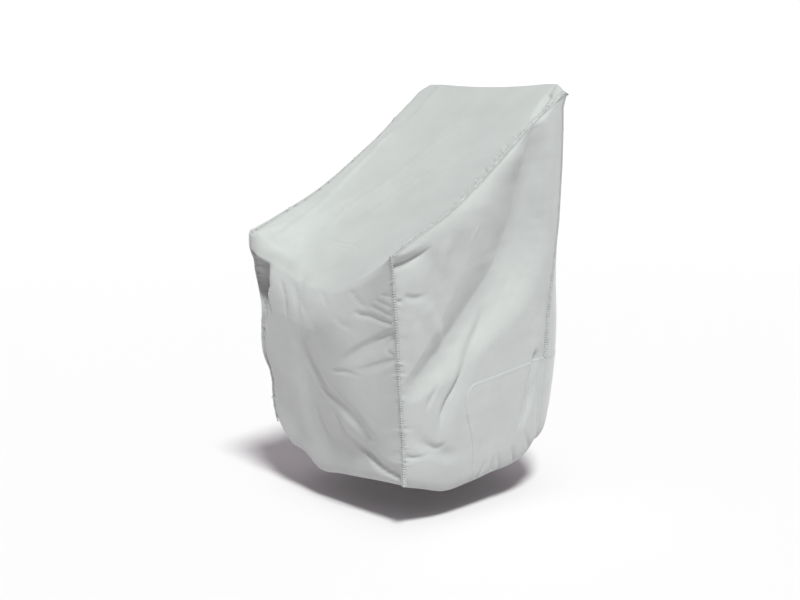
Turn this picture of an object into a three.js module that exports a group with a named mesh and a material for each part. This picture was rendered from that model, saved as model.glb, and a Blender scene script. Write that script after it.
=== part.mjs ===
// A fitted rain cover for a bar chair: four sewn panels of coated cloth that hang over a tall seat with arms.
// Units are millimetres. While the shape is worked out, x runs across, y from front to back and z up from the
// floor. The finished group is moved so that its origin is on the underside of the crest, where it is carried.
import * as THREE from 'three';

// Main sizes
const CLOTH = 2;              // thickness of the sheet
const SEAM_GAP = 0.3;         // clear gap between two sewn panels
const CREST_HEIGHT = 1181;    // highest line of the cover above the floor
const CREST_DEPTH = 606;      // where that line lies, from the front
const CREST_SAG = 8;          // how far the line sinks in the middle
const CREST_SAG_HALF = 210;   // half width of that dip
const CREST_FLAT = 1;         // the crest's flat facets stay this far below its curve
const ARM_HEIGHT = 755;       // height of the front corners, where the slope begins
const APRON_HEIGHT = 372;     // height of the seam along the top of the rear apron
const HEM_HEIGHT = 121;       // nominal height of the hem at the front corners
const CELL = 29;              // length of cloth between two points of a row

// The outline at each level. The level is the height of the front corner seam, and above the arms that of the
// seam beside the slope. seam and half: depth and half width there. middle and dip: depth of the row's middle
// and how far it hangs below the seam. swell: how far the cloth rises above the seam. side: half width in the
// middle of a side. rear and wide: depth and half width of the rear corner. back: depth of the back's middle.
const LEVELS = [
  { z: 121, seam: 6, half: 273, middle: -2, dip: 0, swell: 0, side: 294, rear: 522, wide: 284, back: 622 },
  { z: 178, seam: 4, half: 274, middle: -4, dip: 12, swell: 0, side: 300, rear: 524, wide: 290, back: 640 },
  { z: 238, seam: 0, half: 277, middle: -9, dip: 24, swell: 0, side: 302, rear: 528, wide: 293, back: 655 },
  { z: 347, seam: -15, half: 284, middle: -25, dip: 44, swell: 0, side: 303, rear: 536, wide: 295, back: 674 },
  { z: 454, seam: -29, half: 291, middle: -40, dip: 62, swell: 0, side: 302, rear: 544, wide: 296, back: 676 },
  { z: 560, seam: -39, half: 295, middle: -51, dip: 77, swell: 0, side: 301, rear: 551, wide: 296, back: 668 },
  { z: 664, seam: -52, half: 299, middle: -62, dip: 93, swell: 0, side: 303, rear: 565, wide: 296, back: 650 },
  { z: 725, seam: -60, half: 302, middle: -64, dip: 102, swell: 0, side: 305, rear: 573, wide: 296, back: 646 },
  { z: 743, seam: -63, half: 303, middle: -58, dip: 106, swell: 0, side: 306, rear: 575, wide: 296, back: 646 },
  { z: 755, seam: -63, half: 303, middle: -49, dip: 108, swell: 0, side: 307, rear: 577, wide: 296, back: 645 },
  { z: 763, seam: -46, half: 301, middle: -35, dip: 106, swell: 0, side: 307.5, rear: 578, wide: 296, back: 645 },
  { z: 784, seam: -2, half: 297, middle: 4, dip: 100, swell: 0, side: 309, rear: 580, wide: 296, back: 644 },
  { z: 811, seam: 62, half: 294, middle: 62, dip: 85, swell: 0, side: 311, rear: 583, wide: 296, back: 643 },
  { z: 838, seam: 127, half: 291, middle: 127, dip: 66, swell: 0, side: 312, rear: 585, wide: 296, back: 642 },
  { z: 883, seam: 207, half: 288, middle: 207, dip: 50, swell: 1, side: 312, rear: 587, wide: 296, back: 642 },
  { z: 954, seam: 310, half: 286, middle: 310, dip: 40, swell: 3, side: 309, rear: 591, wide: 296, back: 641 },
  { z: 1039, seam: 425, half: 285, middle: 425, dip: 28, swell: 6, side: 304, rear: 593, wide: 295, back: 640 },
  { z: 1083, seam: 487, half: 285, middle: 487, dip: 20, swell: 10, side: 300, rear: 594, wide: 294, back: 639 },
  { z: 1117, seam: 540, half: 285, middle: 536, dip: 14, swell: 18, side: 295, rear: 596, wide: 292, back: 638 },
  { z: 1156, seam: 593, half: 291, middle: 588, dip: 6, swell: 21, side: 292, rear: 613, wide: 290, back: 638 },
];

// Levels at which a row of points lies, from the hem up
const ROWS = [
  121, 131, 148, 176, 204, 232, 260, 286, 310, 332, 352, 372, 398, 426, 454, 482, 510, 538, 566, 594, 622, 648,
  674, 700, 724, 743, 755, 763, 784, 811, 838, 862, 888, 920, 954, 988, 1022, 1054, 1084, 1110, 1134, 1156,
];

// The hem is drawn in and its edge turns under: how far in the cloth lies at each of the lowest levels
const TUCK = [
  { level: 121, in: 15 }, { level: 131, in: 7 }, { level: 148, in: 2 }, { level: 176, in: 0 },
];
const TURNED_IN = { in: 33, up: 4 };   // inner edge of the band that is turned under

// The left corner sits askew. down: how far the seam has slipped down outside the arm; out: how far the corner
// stands out to the side; lift: how far it swells above it.
const LEFT_CORNER = [
  { level: 121, down: 0, out: 12, lift: 0 }, { level: 160, down: 0, out: 22, lift: 0 },
  { level: 215, down: 0, out: 25, lift: 0 }, { level: 265, down: 0, out: 18, lift: 0 },
  { level: 300, down: 0, out: 10, lift: 0 }, { level: 350, down: 0, out: 9, lift: 0 },
  { level: 405, down: 0, out: 25, lift: 0 }, { level: 480, down: 0, out: 13, lift: 0 },
  { level: 545, down: 0, out: -2, lift: 0 }, { level: 600, down: 4, out: 0, lift: 0 },
  { level: 645, down: 10, out: 0, lift: 0 }, { level: 690, down: 22, out: 1, lift: 0 },
  { level: 725, down: 32, out: 4, lift: 6 }, { level: 755, down: 38, out: 8, lift: 20 },
  { level: 838, down: 34, out: 18, lift: 30 }, { level: 954, down: 20, out: 9, lift: 14 },
  { level: 1039, down: 8, out: 6, lift: 3 }, { level: 1110, down: 2, out: 16, lift: 10 },
  { level: 1156, down: 0, out: 14, lift: 0 },
];
// Distances over which these fade out along the strip and along the side
const FADE_ACROSS = { down: 9, out: 70, lift: 60 };
const FADE_REARWARD = { down: 130, out: 160 };
// Below that corner the front is tucked in beside its seam: how deep, and how far across from the seam
const POCKET = [
  { level: 290, depth: 0, reach: 18 }, { level: 350, depth: 2, reach: 18 }, { level: 400, depth: 5, reach: 20 },
  { level: 450, depth: 7, reach: 22 }, { level: 500, depth: 8, reach: 22 }, { level: 542, depth: 9, reach: 22 },
  { level: 582, depth: 14, reach: 32 }, { level: 625, depth: 26, reach: 52 }, { level: 662, depth: 38, reach: 76 },
  { level: 692, depth: 46, reach: 98 }, { level: 708, depth: 43, reach: 84 }, { level: 724, depth: 30, reach: 54 },
  { level: 740, depth: 12, reach: 22 }, { level: 755, depth: 0, reach: 10 },
];
const POCKET_BOTTOM = 0.52;   // share of that reach at which the pocket is deepest
// Share of the half width at which the strip is back at its level, and the levels over which this comes about
const LEFT_RIDGE = { share: 0.93, from: 600, to: 720 };

// The long valley in the right side, from the top of the rear corner down to the front: y and z of its line,
// its depth, its reach in front of and behind the line, and how its front wall curves (1 for a straight one)
const VALLEY = [
  { step: 0, y: 479, z: 1086, depth: 0, front: 20, rear: 30, edge: 1.5 },
  { step: 1, y: 471, z: 1056, depth: 12, front: 28, rear: 40, edge: 1.5 },
  { step: 2, y: 456, z: 974, depth: 34, front: 60, rear: 66, edge: 1.4 },
  { step: 3, y: 434, z: 878, depth: 50, front: 130, rear: 88, edge: 1.3 },
  { step: 4, y: 412, z: 783, depth: 58, front: 168, rear: 104, edge: 1.3 },
  { step: 5, y: 370, z: 699, depth: 56, front: 150, rear: 118, edge: 1.1 },
  { step: 6, y: 314, z: 635, depth: 48, front: 120, rear: 112, edge: 1 },
  { step: 7, y: 246, z: 577, depth: 40, front: 90, rear: 98, edge: 1 },
  { step: 8, y: 152, z: 495, depth: 32, front: 60, rear: 76, edge: 1 },
  { step: 9, y: 50, z: 421, depth: 16, front: 32, rear: 46, edge: 1 },
  { step: 10, y: -14, z: 370, depth: 0, front: 20, rear: 24, edge: 1 },
];
const VALLEY_PIECES = 36;     // straight pieces along its line
const VALLEY_ROUND = 12;      // radius of its bottom

// Height of the hem round the cover: at is x on the front and back, and y on the sides
const HEM = {
  front: [
    { at: -273, z: 190 }, { at: -222, z: 140 }, { at: -160, z: 126 }, { at: -86, z: 88 }, { at: 0, z: 97 },
    { at: 110, z: 109 }, { at: 200, z: 118 }, { at: 273, z: 122 },
  ],
  right: [
    { at: 6, z: 122 }, { at: 70, z: 106 }, { at: 150, z: 84 }, { at: 245, z: 89 }, { at: 340, z: 100 },
    { at: 405, z: 104 }, { at: 455, z: 114 }, { at: 490, z: 130 }, { at: 522, z: 158 },
  ],
  back: [
    { at: 284, z: 158 }, { at: 240, z: 146 }, { at: 150, z: 128 }, { at: 0, z: 118 }, { at: -140, z: 126 },
    { at: -240, z: 144 }, { at: -284, z: 165 },
  ],
  left: [
    { at: 522, z: 165 }, { at: 470, z: 132 }, { at: 400, z: 108 }, { at: 290, z: 98 }, { at: 180, z: 95 },
    { at: 90, z: 118 }, { at: 40, z: 152 }, { at: 6, z: 190 },
  ],
};

// The apron's front edge, as a share of the side from front to rear, and the rise of its top seam to the rear
const APRON_EDGE = [
  { level: 121, share: 0.455 }, { level: 204, share: 0.447 }, { level: 260, share: 0.425 },
  { level: 310, share: 0.4 }, { level: 372, share: 0.395 },
];
const APRON_RISE = { by: 34, from: 0.3, to: 1.05 };   // from and to are shares of the side, like the edge
const APRON_RISE_FADE = 240;  // height over which the rows above level out again
const SIDE_CELLS = 20;
const APRON_CELL = 8;         // first cell of a side that belongs to the apron
const APRON_CORNER = 2;       // cells cut off by the apron's rounded corner
const ACROSS_CELLS = 20;
const CROWDING = 0.6;         // how closely the columns of the strip crowd towards its edges
const CREST_ROWS = 2;

// Main folds: a soft trough or ridge along a bent line. Points are (x, z) on the front and back, (y, z) on the
// sides and (x, y) on the slope. width: reach to the left and to the right of the line, as it is walked; out:
// height above the cloth round it, below nought for a trough; fade: share of the line that fades in and out.
const FOLDS = {
  right: [
    { from: [560, 1060], by: [475, 800], to: [330, 560], width: [60, 60], out: 6, fade: [0.2, 0.4] },
    { from: [286, 610], by: [226, 446], to: [116, 262], width: [30, 48], out: -11, fade: [0.25, 0.2] },
    { from: [-60, 724], by: [4, 737], to: [84, 768], width: [26, 26], out: -14, fade: [0.02, 0.4] },
    { from: [520, 470], by: [480, 350], to: [420, 200], width: [22, 26], out: -8, fade: [0.4, 0.3] },
    { from: [40, 650], by: [80, 570], to: [150, 470], width: [34, 40], out: 7, fade: [0.4, 0.4] },
    { from: [0, 300], by: [90, 215], to: [200, 175], width: [30, 30], out: -6, fade: [0.4, 0.3] },
  ],
  front: [
    { from: [-157, 652], by: [-152, 520], to: [-132, 400], width: [20, 26], out: -8, fade: [0.1, 0.4] },
    { from: [-108, 648], by: [-116, 520], to: [-96, 400], width: [20, 24], out: -6, fade: [0.1, 0.4] },
    { from: [-20, 636], by: [30, 600], to: [76, 566], width: [18, 22], out: -7, fade: [0.2, 0.4] },
    { from: [-46, 580], by: [-24, 530], to: [10, 470], width: [18, 22], out: -6, fade: [0.3, 0.4] },
    { from: [118, 656], by: [186, 602], to: [290, 572], width: [18, 24], out: -11, fade: [0.2, 0.1] },
    { from: [212, 634], by: [250, 616], to: [290, 598], width: [12, 14], out: -6, fade: [0.3, 0.1] },
    { from: [-116, 480], by: [-40, 412], to: [60, 310], width: [24, 30], out: -9, fade: [0.3, 0.3] },
    { from: [50, 446], by: [110, 424], to: [190, 404], width: [20, 26], out: -7, fade: [0.4, 0.4] },
    { from: [-20, 362], by: [130, 470], to: [284, 556], width: [24, 60], out: -8, fade: [0.3, 0.2] },
    { from: [-10, 290], by: [40, 230], to: [104, 160], width: [24, 26], out: -9, fade: [0.3, 0.2] },
    { from: [56, 312], by: [164, 232], to: [270, 140], width: [34, 22], out: -17, fade: [0.3, 0.1] },
    { from: [-124, 186], by: [-80, 150], to: [-36, 118], width: [20, 22], out: -6, fade: [0.3, 0.2] },
  ],
  slope: [
    { from: [-262, 10], by: [-200, 130], to: [-120, 420], width: [30, 40], out: 5, fade: [0.2, 0.4] },
    { from: [-150, 60], by: [-60, 220], to: [60, 540], width: [40, 50], out: 4, fade: [0.3, 0.3] },
    { from: [-40, 20], by: [80, 180], to: [200, 500], width: [36, 44], out: -4, fade: [0.3, 0.3] },
    { from: [262, 575], by: [266, 530], to: [284, 470], width: [16, 14], out: -8, fade: [0.1, 0.4] },
  ],
  back: [
    { from: [170, 1080], by: [215, 820], to: [240, 560], width: [40, 44], out: -12, fade: [0.3, 0.3] },
    { from: [60, 960], by: [40, 700], to: [90, 380], width: [46, 50], out: 10, fade: [0.3, 0.3] },
    { from: [-60, 1000], by: [-90, 740], to: [-60, 470], width: [40, 44], out: -10, fade: [0.3, 0.3] },
    { from: [-200, 1050], by: [-210, 800], to: [-160, 560], width: [36, 44], out: -12, fade: [0.3, 0.3] },
    { from: [120, 360], by: [70, 260], to: [60, 140], width: [34, 34], out: -9, fade: [0.3, 0.1] },
    { from: [-130, 350], by: [-150, 240], to: [-190, 150], width: [30, 34], out: -9, fade: [0.3, 0.1] },
  ],
  left: [
    { from: [560, 1090], by: [400, 820], to: [40, 440], width: [56, 46], out: -19, fade: [0.12, 0.3] },
    { from: [330, 640], by: [240, 480], to: [130, 250], width: [30, 26], out: -10, fade: [0.25, 0.2] },
    { from: [10, 690], by: [70, 700], to: [150, 736], width: [18, 16], out: -10, fade: [0.2, 0.4] },
    { from: [480, 600], by: [470, 380], to: [440, 190], width: [26, 22], out: -8, fade: [0.4, 0.3] },
    { from: [0, 620], by: [30, 500], to: [90, 380], width: [30, 34], out: -9, fade: [0.3, 0.4] },
  ],
};
const FOLD_STEPS = 10;        // straight pieces along a fold's bent line
const SEAM_HOLD = 16;         // the cloth within this distance of a seam is held flat by it

// Colours of the cloth
const PALE_CLOTH = { color: 0xcdd1ce, roughness: 0.72, metalness: 0 };

// Reads a column of a table, along a smooth curve through its rows
function readTable(table, key, column, value) {
  const rising = table[table.length - 1][key] > table[0][key];
  let i = 0;
  while (i < table.length - 2 && (rising ? value > table[i + 1][key] : value < table[i + 1][key])) i += 1;
  const here = table[i];
  const next = table[i + 1];
  const span = next[key] - here[key];
  const t = THREE.MathUtils.clamp((value - here[key]) / span, 0, 1);
  const slope = (j) => {
    const before = table[Math.max(j - 1, 0)];
    const after = table[Math.min(j + 1, table.length - 1)];
    return (after[column] - before[column]) / (after[key] - before[key]) * span;
  };
  const a = here[column];
  const b = next[column];
  const t2 = t * t;
  const t3 = t2 * t;
  const ends = a * (2 * t3 - 3 * t2 + 1) + b * (3 * t2 - 2 * t3);
  return ends + slope(i) * (t3 - 2 * t2 + t) + slope(i + 1) * (t3 - t2);
}

// The outline at a level, drawn in on all sides by a given amount
function outline(level, drawnIn = 0) {
  const row = {};
  for (const column of Object.keys(LEVELS[0])) row[column] = readTable(LEVELS, 'z', column, level);
  for (const column of ['half', 'side', 'rear', 'wide', 'back']) row[column] -= drawnIn;
  for (const column of ['seam', 'middle']) row[column] += drawnIn;
  return row;
}

// How far a point near the left corner is moved, by column of the table
function leftShift(column, level, distance, fade) {
  if (level < LEFT_CORNER[0].level) return 0;
  return readTable(LEFT_CORNER, 'level', column, level) * Math.exp(-distance / fade[column]);
}

// Depth of the pocket beside the left seam
function pocketDepth(level, toSeam) {
  if (level >= ARM_HEIGHT) return 0;
  const share = toSeam / readTable(POCKET, 'level', 'reach', level);
  const wedge = Math.min(share / POCKET_BOTTOM, (1 - share) / (1 - POCKET_BOTTOM));
  return readTable(POCKET, 'level', 'depth', level) * THREE.MathUtils.clamp(wedge, 0, 1);
}

// How much of the hem's own height a row at this level still follows
const hemShare = (level) => THREE.MathUtils.clamp((APRON_HEIGHT - level) / (APRON_HEIGHT - HEM_HEIGHT), 0, 1);

// How far a row is lifted at a share of the side, so that the apron's seam climbs to the rear
function apronRise(level, share) {
  const below = (level - HEM_HEIGHT) / (APRON_HEIGHT - HEM_HEIGHT);
  const above = 1 - (level - APRON_HEIGHT) / APRON_RISE_FADE;
  const climb = THREE.MathUtils.smoothstep(share, APRON_RISE.from, APRON_RISE.to);
  return APRON_RISE.by * climb * THREE.MathUtils.clamp(Math.min(below, above), 0, 1);
}

// A fold's line, bent through its middle point and cut into straight pieces
function foldLine(fold) {
  const from = new THREE.Vector2(...fold.from);
  const to = new THREE.Vector2(...fold.to);
  const middle = from.clone().add(to).multiplyScalar(0.5);
  const pull = new THREE.Vector2(...fold.by).multiplyScalar(2).sub(middle);
  return new THREE.QuadraticBezierCurve(from, pull, to).getPoints(FOLD_STEPS);
}

const foldLines = {};
for (const [face, folds] of Object.entries(FOLDS)) {
  foldLines[face] = folds.map((fold) => ({ fold, points: foldLine(fold) }));
}

// From a point to a bent line: the distance, the share of the line, and whether the point is to its left
function toLine(points, a, b) {
  const pieces = points.length - 1;
  let best = { distance: Infinity };
  for (let i = 0; i < pieces; i += 1) {
    const start = points[i];
    const dx = points[i + 1].x - start.x;
    const dy = points[i + 1].y - start.y;
    const t = THREE.MathUtils.clamp(((a - start.x) * dx + (b - start.y) * dy) / (dx * dx + dy * dy), 0, 1);
    const offX = a - start.x - t * dx;
    const offY = b - start.y - t * dy;
    const distance = Math.hypot(offX, offY);
    if (distance < best.distance) {
      best = { distance, along: (i + t) / pieces, leftward: dx * offY - dy * offX > 0 };
    }
  }
  return best;
}

// Height of one fold at a point of its face
function foldHeight({ fold, points }, a, b) {
  const { distance, along, leftward } = toLine(points, a, b);
  const width = fold.width[leftward ? 0 : 1];
  if (distance >= width) return 0;
  const bell = 0.5 + 0.5 * Math.cos(Math.PI * distance / width);
  const fadeIn = THREE.MathUtils.smoothstep(along, 0, fold.fade[0]);
  const fadeOut = 1 - THREE.MathUtils.smoothstep(along, 1 - fold.fade[1], 1);
  return fold.out * bell * fadeIn * fadeOut;
}

// The valley's line, and its depth at a point of the right side
const valleyLine = [];
const VALLEY_END = VALLEY.length - 1;
for (let i = 0; i <= VALLEY_PIECES; i += 1) {
  const step = VALLEY_END * i / VALLEY_PIECES;
  valleyLine.push(new THREE.Vector2(readTable(VALLEY, 'step', 'y', step), readTable(VALLEY, 'step', 'z', step)));
}

function valleyDepth(y, z) {
  const { distance, along, leftward } = toLine(valleyLine, y, z);
  const at = (column) => readTable(VALLEY, 'step', column, along * VALLEY_END);
  const off = Math.hypot(distance, VALLEY_ROUND) - VALLEY_ROUND;
  const share = THREE.MathUtils.clamp(off / at(leftward ? 'rear' : 'front'), 0, 1);
  const wall = leftward ? 0.5 + 0.5 * Math.cos(Math.PI * share) : (1 - share) ** at('edge');
  return at('depth') * wall;
}

// Height of all folds of a face at a point, fading out towards the seams
function foldsAt(face, a, b, toSeam) {
  const height = foldLines[face].reduce((sum, line) => sum + foldHeight(line, a, b), 0);
  return height * THREE.MathUtils.smoothstep(toSeam, 0, SEAM_HOLD);
}

// How round each face is across: the power of the curve that it follows from its middle to its edges
const LEFT_SAG = 2.2;
const RIGHT_SAG = 2;
const LEFT_ROUND = 9;
const RIGHT_ROUND = 3;
const SIDE_ROUND = 4;
const BACK_ROUND = { low: 7, high: 3, from: 600, to: 1140 };
const ARM_ROLL = 80;          // height over which the front edge rolls into the slope
const SWELL_WIDTH = 22;       // width of the shoulder beside the slope seam
const SLOPE_OUT = { y: -0.6, z: 0.8 };   // direction that faces out of the slope

// A point of the front, and above the arms of the slope: u runs from -1 at the left seam to 1 at the right one
function frontPoint(level, u, drawnIn = 0) {
  const o = outline(level, drawnIn);
  let x = o.half * u;
  const onSlope = THREE.MathUtils.smoothstep(level, ARM_HEIGHT, ARM_HEIGHT + ARM_ROLL);
  const power = u < 0 ? THREE.MathUtils.lerp(LEFT_SAG, RIGHT_SAG, onSlope) : RIGHT_SAG;
  const ridgeShare = u < 0 ? THREE.MathUtils.smoothstep(level, LEFT_RIDGE.from, LEFT_RIDGE.to) : 0;
  const ridge = THREE.MathUtils.lerp(1, LEFT_RIDGE.share, ridgeShare);
  const sag = 1 - Math.min(1, Math.abs(u) / ridge) ** power;
  const toSeam = o.half * (1 - Math.abs(u));
  const swell = o.swell * (1 - Math.exp(-toSeam / SWELL_WIDTH));
  let y = THREE.MathUtils.lerp(o.seam, o.middle, 1 - Math.abs(u) ** (u < 0 ? LEFT_ROUND : RIGHT_ROUND));
  let z = level - o.dip * sag + swell;
  z += (readTable(HEM.front, 'at', 'z', x) - HEM_HEIGHT) * hemShare(level);
  if (level > ARM_HEIGHT) {
    const out = foldsAt('slope', x, y, Math.min(toSeam, (y - o.seam) + (level - ARM_HEIGHT)));
    y += SLOPE_OUT.y * out;
    z += SLOPE_OUT.z * out;
  } else {
    y -= foldsAt('front', x, z, toSeam);
  }
  if (u < 0) {
    x -= leftShift('out', level, toSeam, FADE_ACROSS);
    y += pocketDepth(level, toSeam);
    z -= leftShift('down', level, toSeam, FADE_ACROSS);
    z += leftShift('lift', level, toSeam, FADE_ACROSS) * (1 - Math.exp(-toSeam / FADE_ACROSS.down));
  }
  return new THREE.Vector3(x, y, z);
}

const SLOPE_SINE = 0.55;      // rise of the slope seam for each millimetre of its length

// A point of a side: f runs from 0 at the front or slope seam to 1 at the rear corner
function sidePoint(face, level, f, drawnIn = 0) {
  const o = outline(level, drawnIn);
  const y = THREE.MathUtils.lerp(o.seam, o.rear, f);
  const flat = THREE.MathUtils.lerp(o.half, o.wide, f);
  let x = flat + (o.side - flat) * (1 - Math.abs(2 * f - 1) ** SIDE_ROUND);
  let z = level + apronRise(level, f);
  z += (readTable(HEM[face], 'at', 'z', y) - HEM_HEIGHT) * hemShare(level);
  const length = o.rear - o.seam;
  const toFrontSeam = level > ARM_HEIGHT ? f * length * SLOPE_SINE : f * length;
  const toSeam = Math.min(toFrontSeam, (1 - f) * length);
  x += foldsAt(face, y, z, toSeam);
  if (face === 'right') {
    x -= valleyDepth(y, z) * THREE.MathUtils.smoothstep(toSeam, 0, SEAM_HOLD);
    return new THREE.Vector3(x, y, z);
  }
  x += leftShift('out', level, f * length, FADE_REARWARD);
  z -= leftShift('down', level, f * length, FADE_REARWARD) * (1 - f);
  return new THREE.Vector3(-x, y, z);
}

// A point of the back: u runs from 1 at the right rear corner to -1 at the left one
function backPoint(level, u, drawnIn = 0) {
  const o = outline(level, drawnIn);
  const x = o.wide * u;
  const high = THREE.MathUtils.smoothstep(level, BACK_ROUND.from, BACK_ROUND.to);
  const bulge = THREE.MathUtils.lerp(BACK_ROUND.low, BACK_ROUND.high, high);
  let y = THREE.MathUtils.lerp(o.rear, o.back, 1 - Math.abs(u) ** bulge);
  let z = level + apronRise(level, 1);
  z += (readTable(HEM.back, 'at', 'z', x) - HEM_HEIGHT) * hemShare(level);
  y += foldsAt('back', x, z, o.wide * (1 - Math.abs(u)));
  return new THREE.Vector3(x, y, z);
}

const CREST_RISE = 9;         // how quickly the crest rises from its ends

// A point of the rounded crest between slope and back: r runs from 0 at the slope to 1 at the back
function crestPoint(r, u) {
  const top = ROWS[ROWS.length - 1];
  const front = frontPoint(top, u);
  const back = backPoint(top, u);
  const point = front.clone().lerp(back, r);
  const crest = CREST_HEIGHT - CREST_SAG * Math.max(0, 1 - (point.x / CREST_SAG_HALF) ** 2);
  point.z += (crest - point.z) * Math.sin(Math.PI * r) * Math.min(1, (1 - Math.abs(u)) * CREST_RISE);
  return point;
}

// The share of a side's row at which its point i of n lies, with one point held on the apron's front edge
function sideShare(level, i, n) {
  if (n !== SIDE_CELLS) return i / n;
  const edge = readTable(APRON_EDGE, 'level', 'share', Math.min(level, APRON_HEIGHT));
  if (i <= APRON_CELL) return edge * i / APRON_CELL;
  return edge + (1 - edge) * (i - APRON_CELL) / (n - APRON_CELL);
}

// The whole surface as points and triangles, each triangle marked with the panel that it is cut from
const points = [];
const triangles = [];
const addPoint = (point) => points.push(point) - 1;
const across = (i) => {
  const even = -1 + 2 * i / ACROSS_CELLS;
  return THREE.MathUtils.lerp(even, Math.sin(even * Math.PI / 2), CROWDING);
};

// One ring of points round the cover: front, right side, back and left side, sharing their corner points
function makeRing({ level, drawnIn = 0, up = 0 }) {
  const o = outline(level);
  const add = (point) => addPoint(point.setZ(point.z + up));
  const fewer = Math.max(CREST_ROWS + 1, Math.round((o.rear - o.seam) / CELL));
  const sideCells = level <= ARM_HEIGHT ? SIDE_CELLS : fewer;
  const front = [];
  for (let i = 0; i <= ACROSS_CELLS; i += 1) front.push(add(frontPoint(level, across(i), drawnIn)));
  const right = [front[ACROSS_CELLS]];
  for (let i = 1; i <= sideCells; i += 1) {
    right.push(add(sidePoint('right', level, sideShare(level, i, sideCells), drawnIn)));
  }
  const back = [right[sideCells]];
  for (let i = 1; i <= ACROSS_CELLS; i += 1) back.push(add(backPoint(level, -across(i), drawnIn)));
  const left = [back[ACROSS_CELLS]];
  for (let i = sideCells - 1; i > 0; i -= 1) {
    left.push(add(sidePoint('left', level, sideShare(level, i, sideCells), drawnIn)));
  }
  left.push(front[0]);
  return { front, right, back, left };
}

// Joins two rows with triangles. leaning: which way the diagonal of an even cell runs
function joinRows(lower, upper, leaning, panelOf) {
  const n = lower.length - 1;
  const m = upper.length - 1;
  let i = 0;
  let j = 0;
  while (i < n || j < m) {
    const lowerNext = (i + 1) / n;
    const upperNext = (j + 1) / m;
    const even = Math.abs(lowerNext - upperNext) < 1e-9;
    const stepUpper = j < m && (i === n || (even ? leaning : upperNext < lowerNext));
    if (stepUpper) {
      triangles.push({ ids: [lower[i], upper[j + 1], upper[j]], panel: panelOf((i + j + j + 1) / 3, 2 / 3) });
      j += 1;
    } else {
      triangles.push({ ids: [lower[i], lower[i + 1], upper[j]], panel: panelOf((i + i + 1 + j) / 3, 1 / 3) });
      i += 1;
    }
  }
}

function buildSurface() {
  const turned = makeRing({ level: HEM_HEIGHT, drawnIn: TURNED_IN.in, up: TURNED_IN.up });
  const drawnIn = (level) => TUCK.find((row) => row.level === level)?.in;
  const rings = ROWS.map((level) => makeRing({ level, drawnIn: drawnIn(level) }));
  const all = [turned, ...rings];
  const apronRow = 1 + ROWS.indexOf(APRON_HEIGHT);
  const onApron = (column, row) => row < apronRow && column > APRON_CELL
    && column - APRON_CELL > row - (apronRow - APRON_CORNER);
  for (let k = 0; k + 1 < all.length; k += 1) {
    const lower = all[k];
    const upper = all[k + 1];
    joinRows(lower.front, upper.front, false, () => 'front_top_and_back');
    const rightPanel = (column, up) => (onApron(column, k + up) ? 'rear_apron' : 'side_right');
    joinRows(lower.right, upper.right, true, rightPanel);
    joinRows(lower.back, upper.back, false, () => (k < apronRow ? 'rear_apron' : 'front_top_and_back'));
    const last = lower.left.length - 1;
    const leftPanel = (column, up) => (onApron(last - column, k + up) ? 'rear_apron' : 'side_left');
    joinRows(lower.left, upper.left, false, leftPanel);
  }
  joinCrest(rings[rings.length - 1]);
}

// The crest's rows run from the last row of the slope to the last row of the back
function joinCrest(ring) {
  let lower = ring.front;
  for (let k = 1; k <= CREST_ROWS; k += 1) {
    const row = [ring.left[CREST_ROWS + 1 - k]];
    for (let i = 1; i < ACROSS_CELLS; i += 1) row.push(addPoint(crestPoint(k / (CREST_ROWS + 1), across(i))));
    row.push(ring.right[k]);
    joinRows(lower, row, false, () => 'front_top_and_back');
    lower = row;
  }
  joinRows(lower, [...ring.back].reverse(), false, () => 'front_top_and_back');
}

const LEAST_REACH = 0.35;     // the sheet gets no thicker than its thickness over this, on the sharpest bends

// Normal of each point, from all the triangles round it, and how far a wall of even thickness reaches along it
function findNormals() {
  const normals = points.map(() => new THREE.Vector3());
  const faces = triangles.map(({ ids }) => {
    const [a, b, c] = ids.map((id) => points[id]);
    const normal = new THREE.Vector3().crossVectors(b.clone().sub(a), c.clone().sub(a)).normalize();
    const turns = [b.clone().sub(a).angleTo(c.clone().sub(a)), c.clone().sub(b).angleTo(a.clone().sub(b))];
    turns.push(Math.PI - turns[0] - turns[1]);
    ids.forEach((id, i) => normals[id].addScaledVector(normal, turns[i]));
    return normal;
  });
  normals.forEach((normal) => normal.normalize());
  const reach = points.map(() => ({ sum: 0, count: 0 }));
  triangles.forEach(({ ids }, i) => {
    for (const id of ids) {
      reach[id].sum += normals[id].dot(faces[i]);
      reach[id].count += 1;
    }
  });
  return { normals, reach: reach.map(({ sum, count }) => Math.max(LEAST_REACH, sum / count)) };
}

const LEAST_MITRE = 0.3;      // keeps the gap from growing at the sharpest corner of a panel

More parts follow.
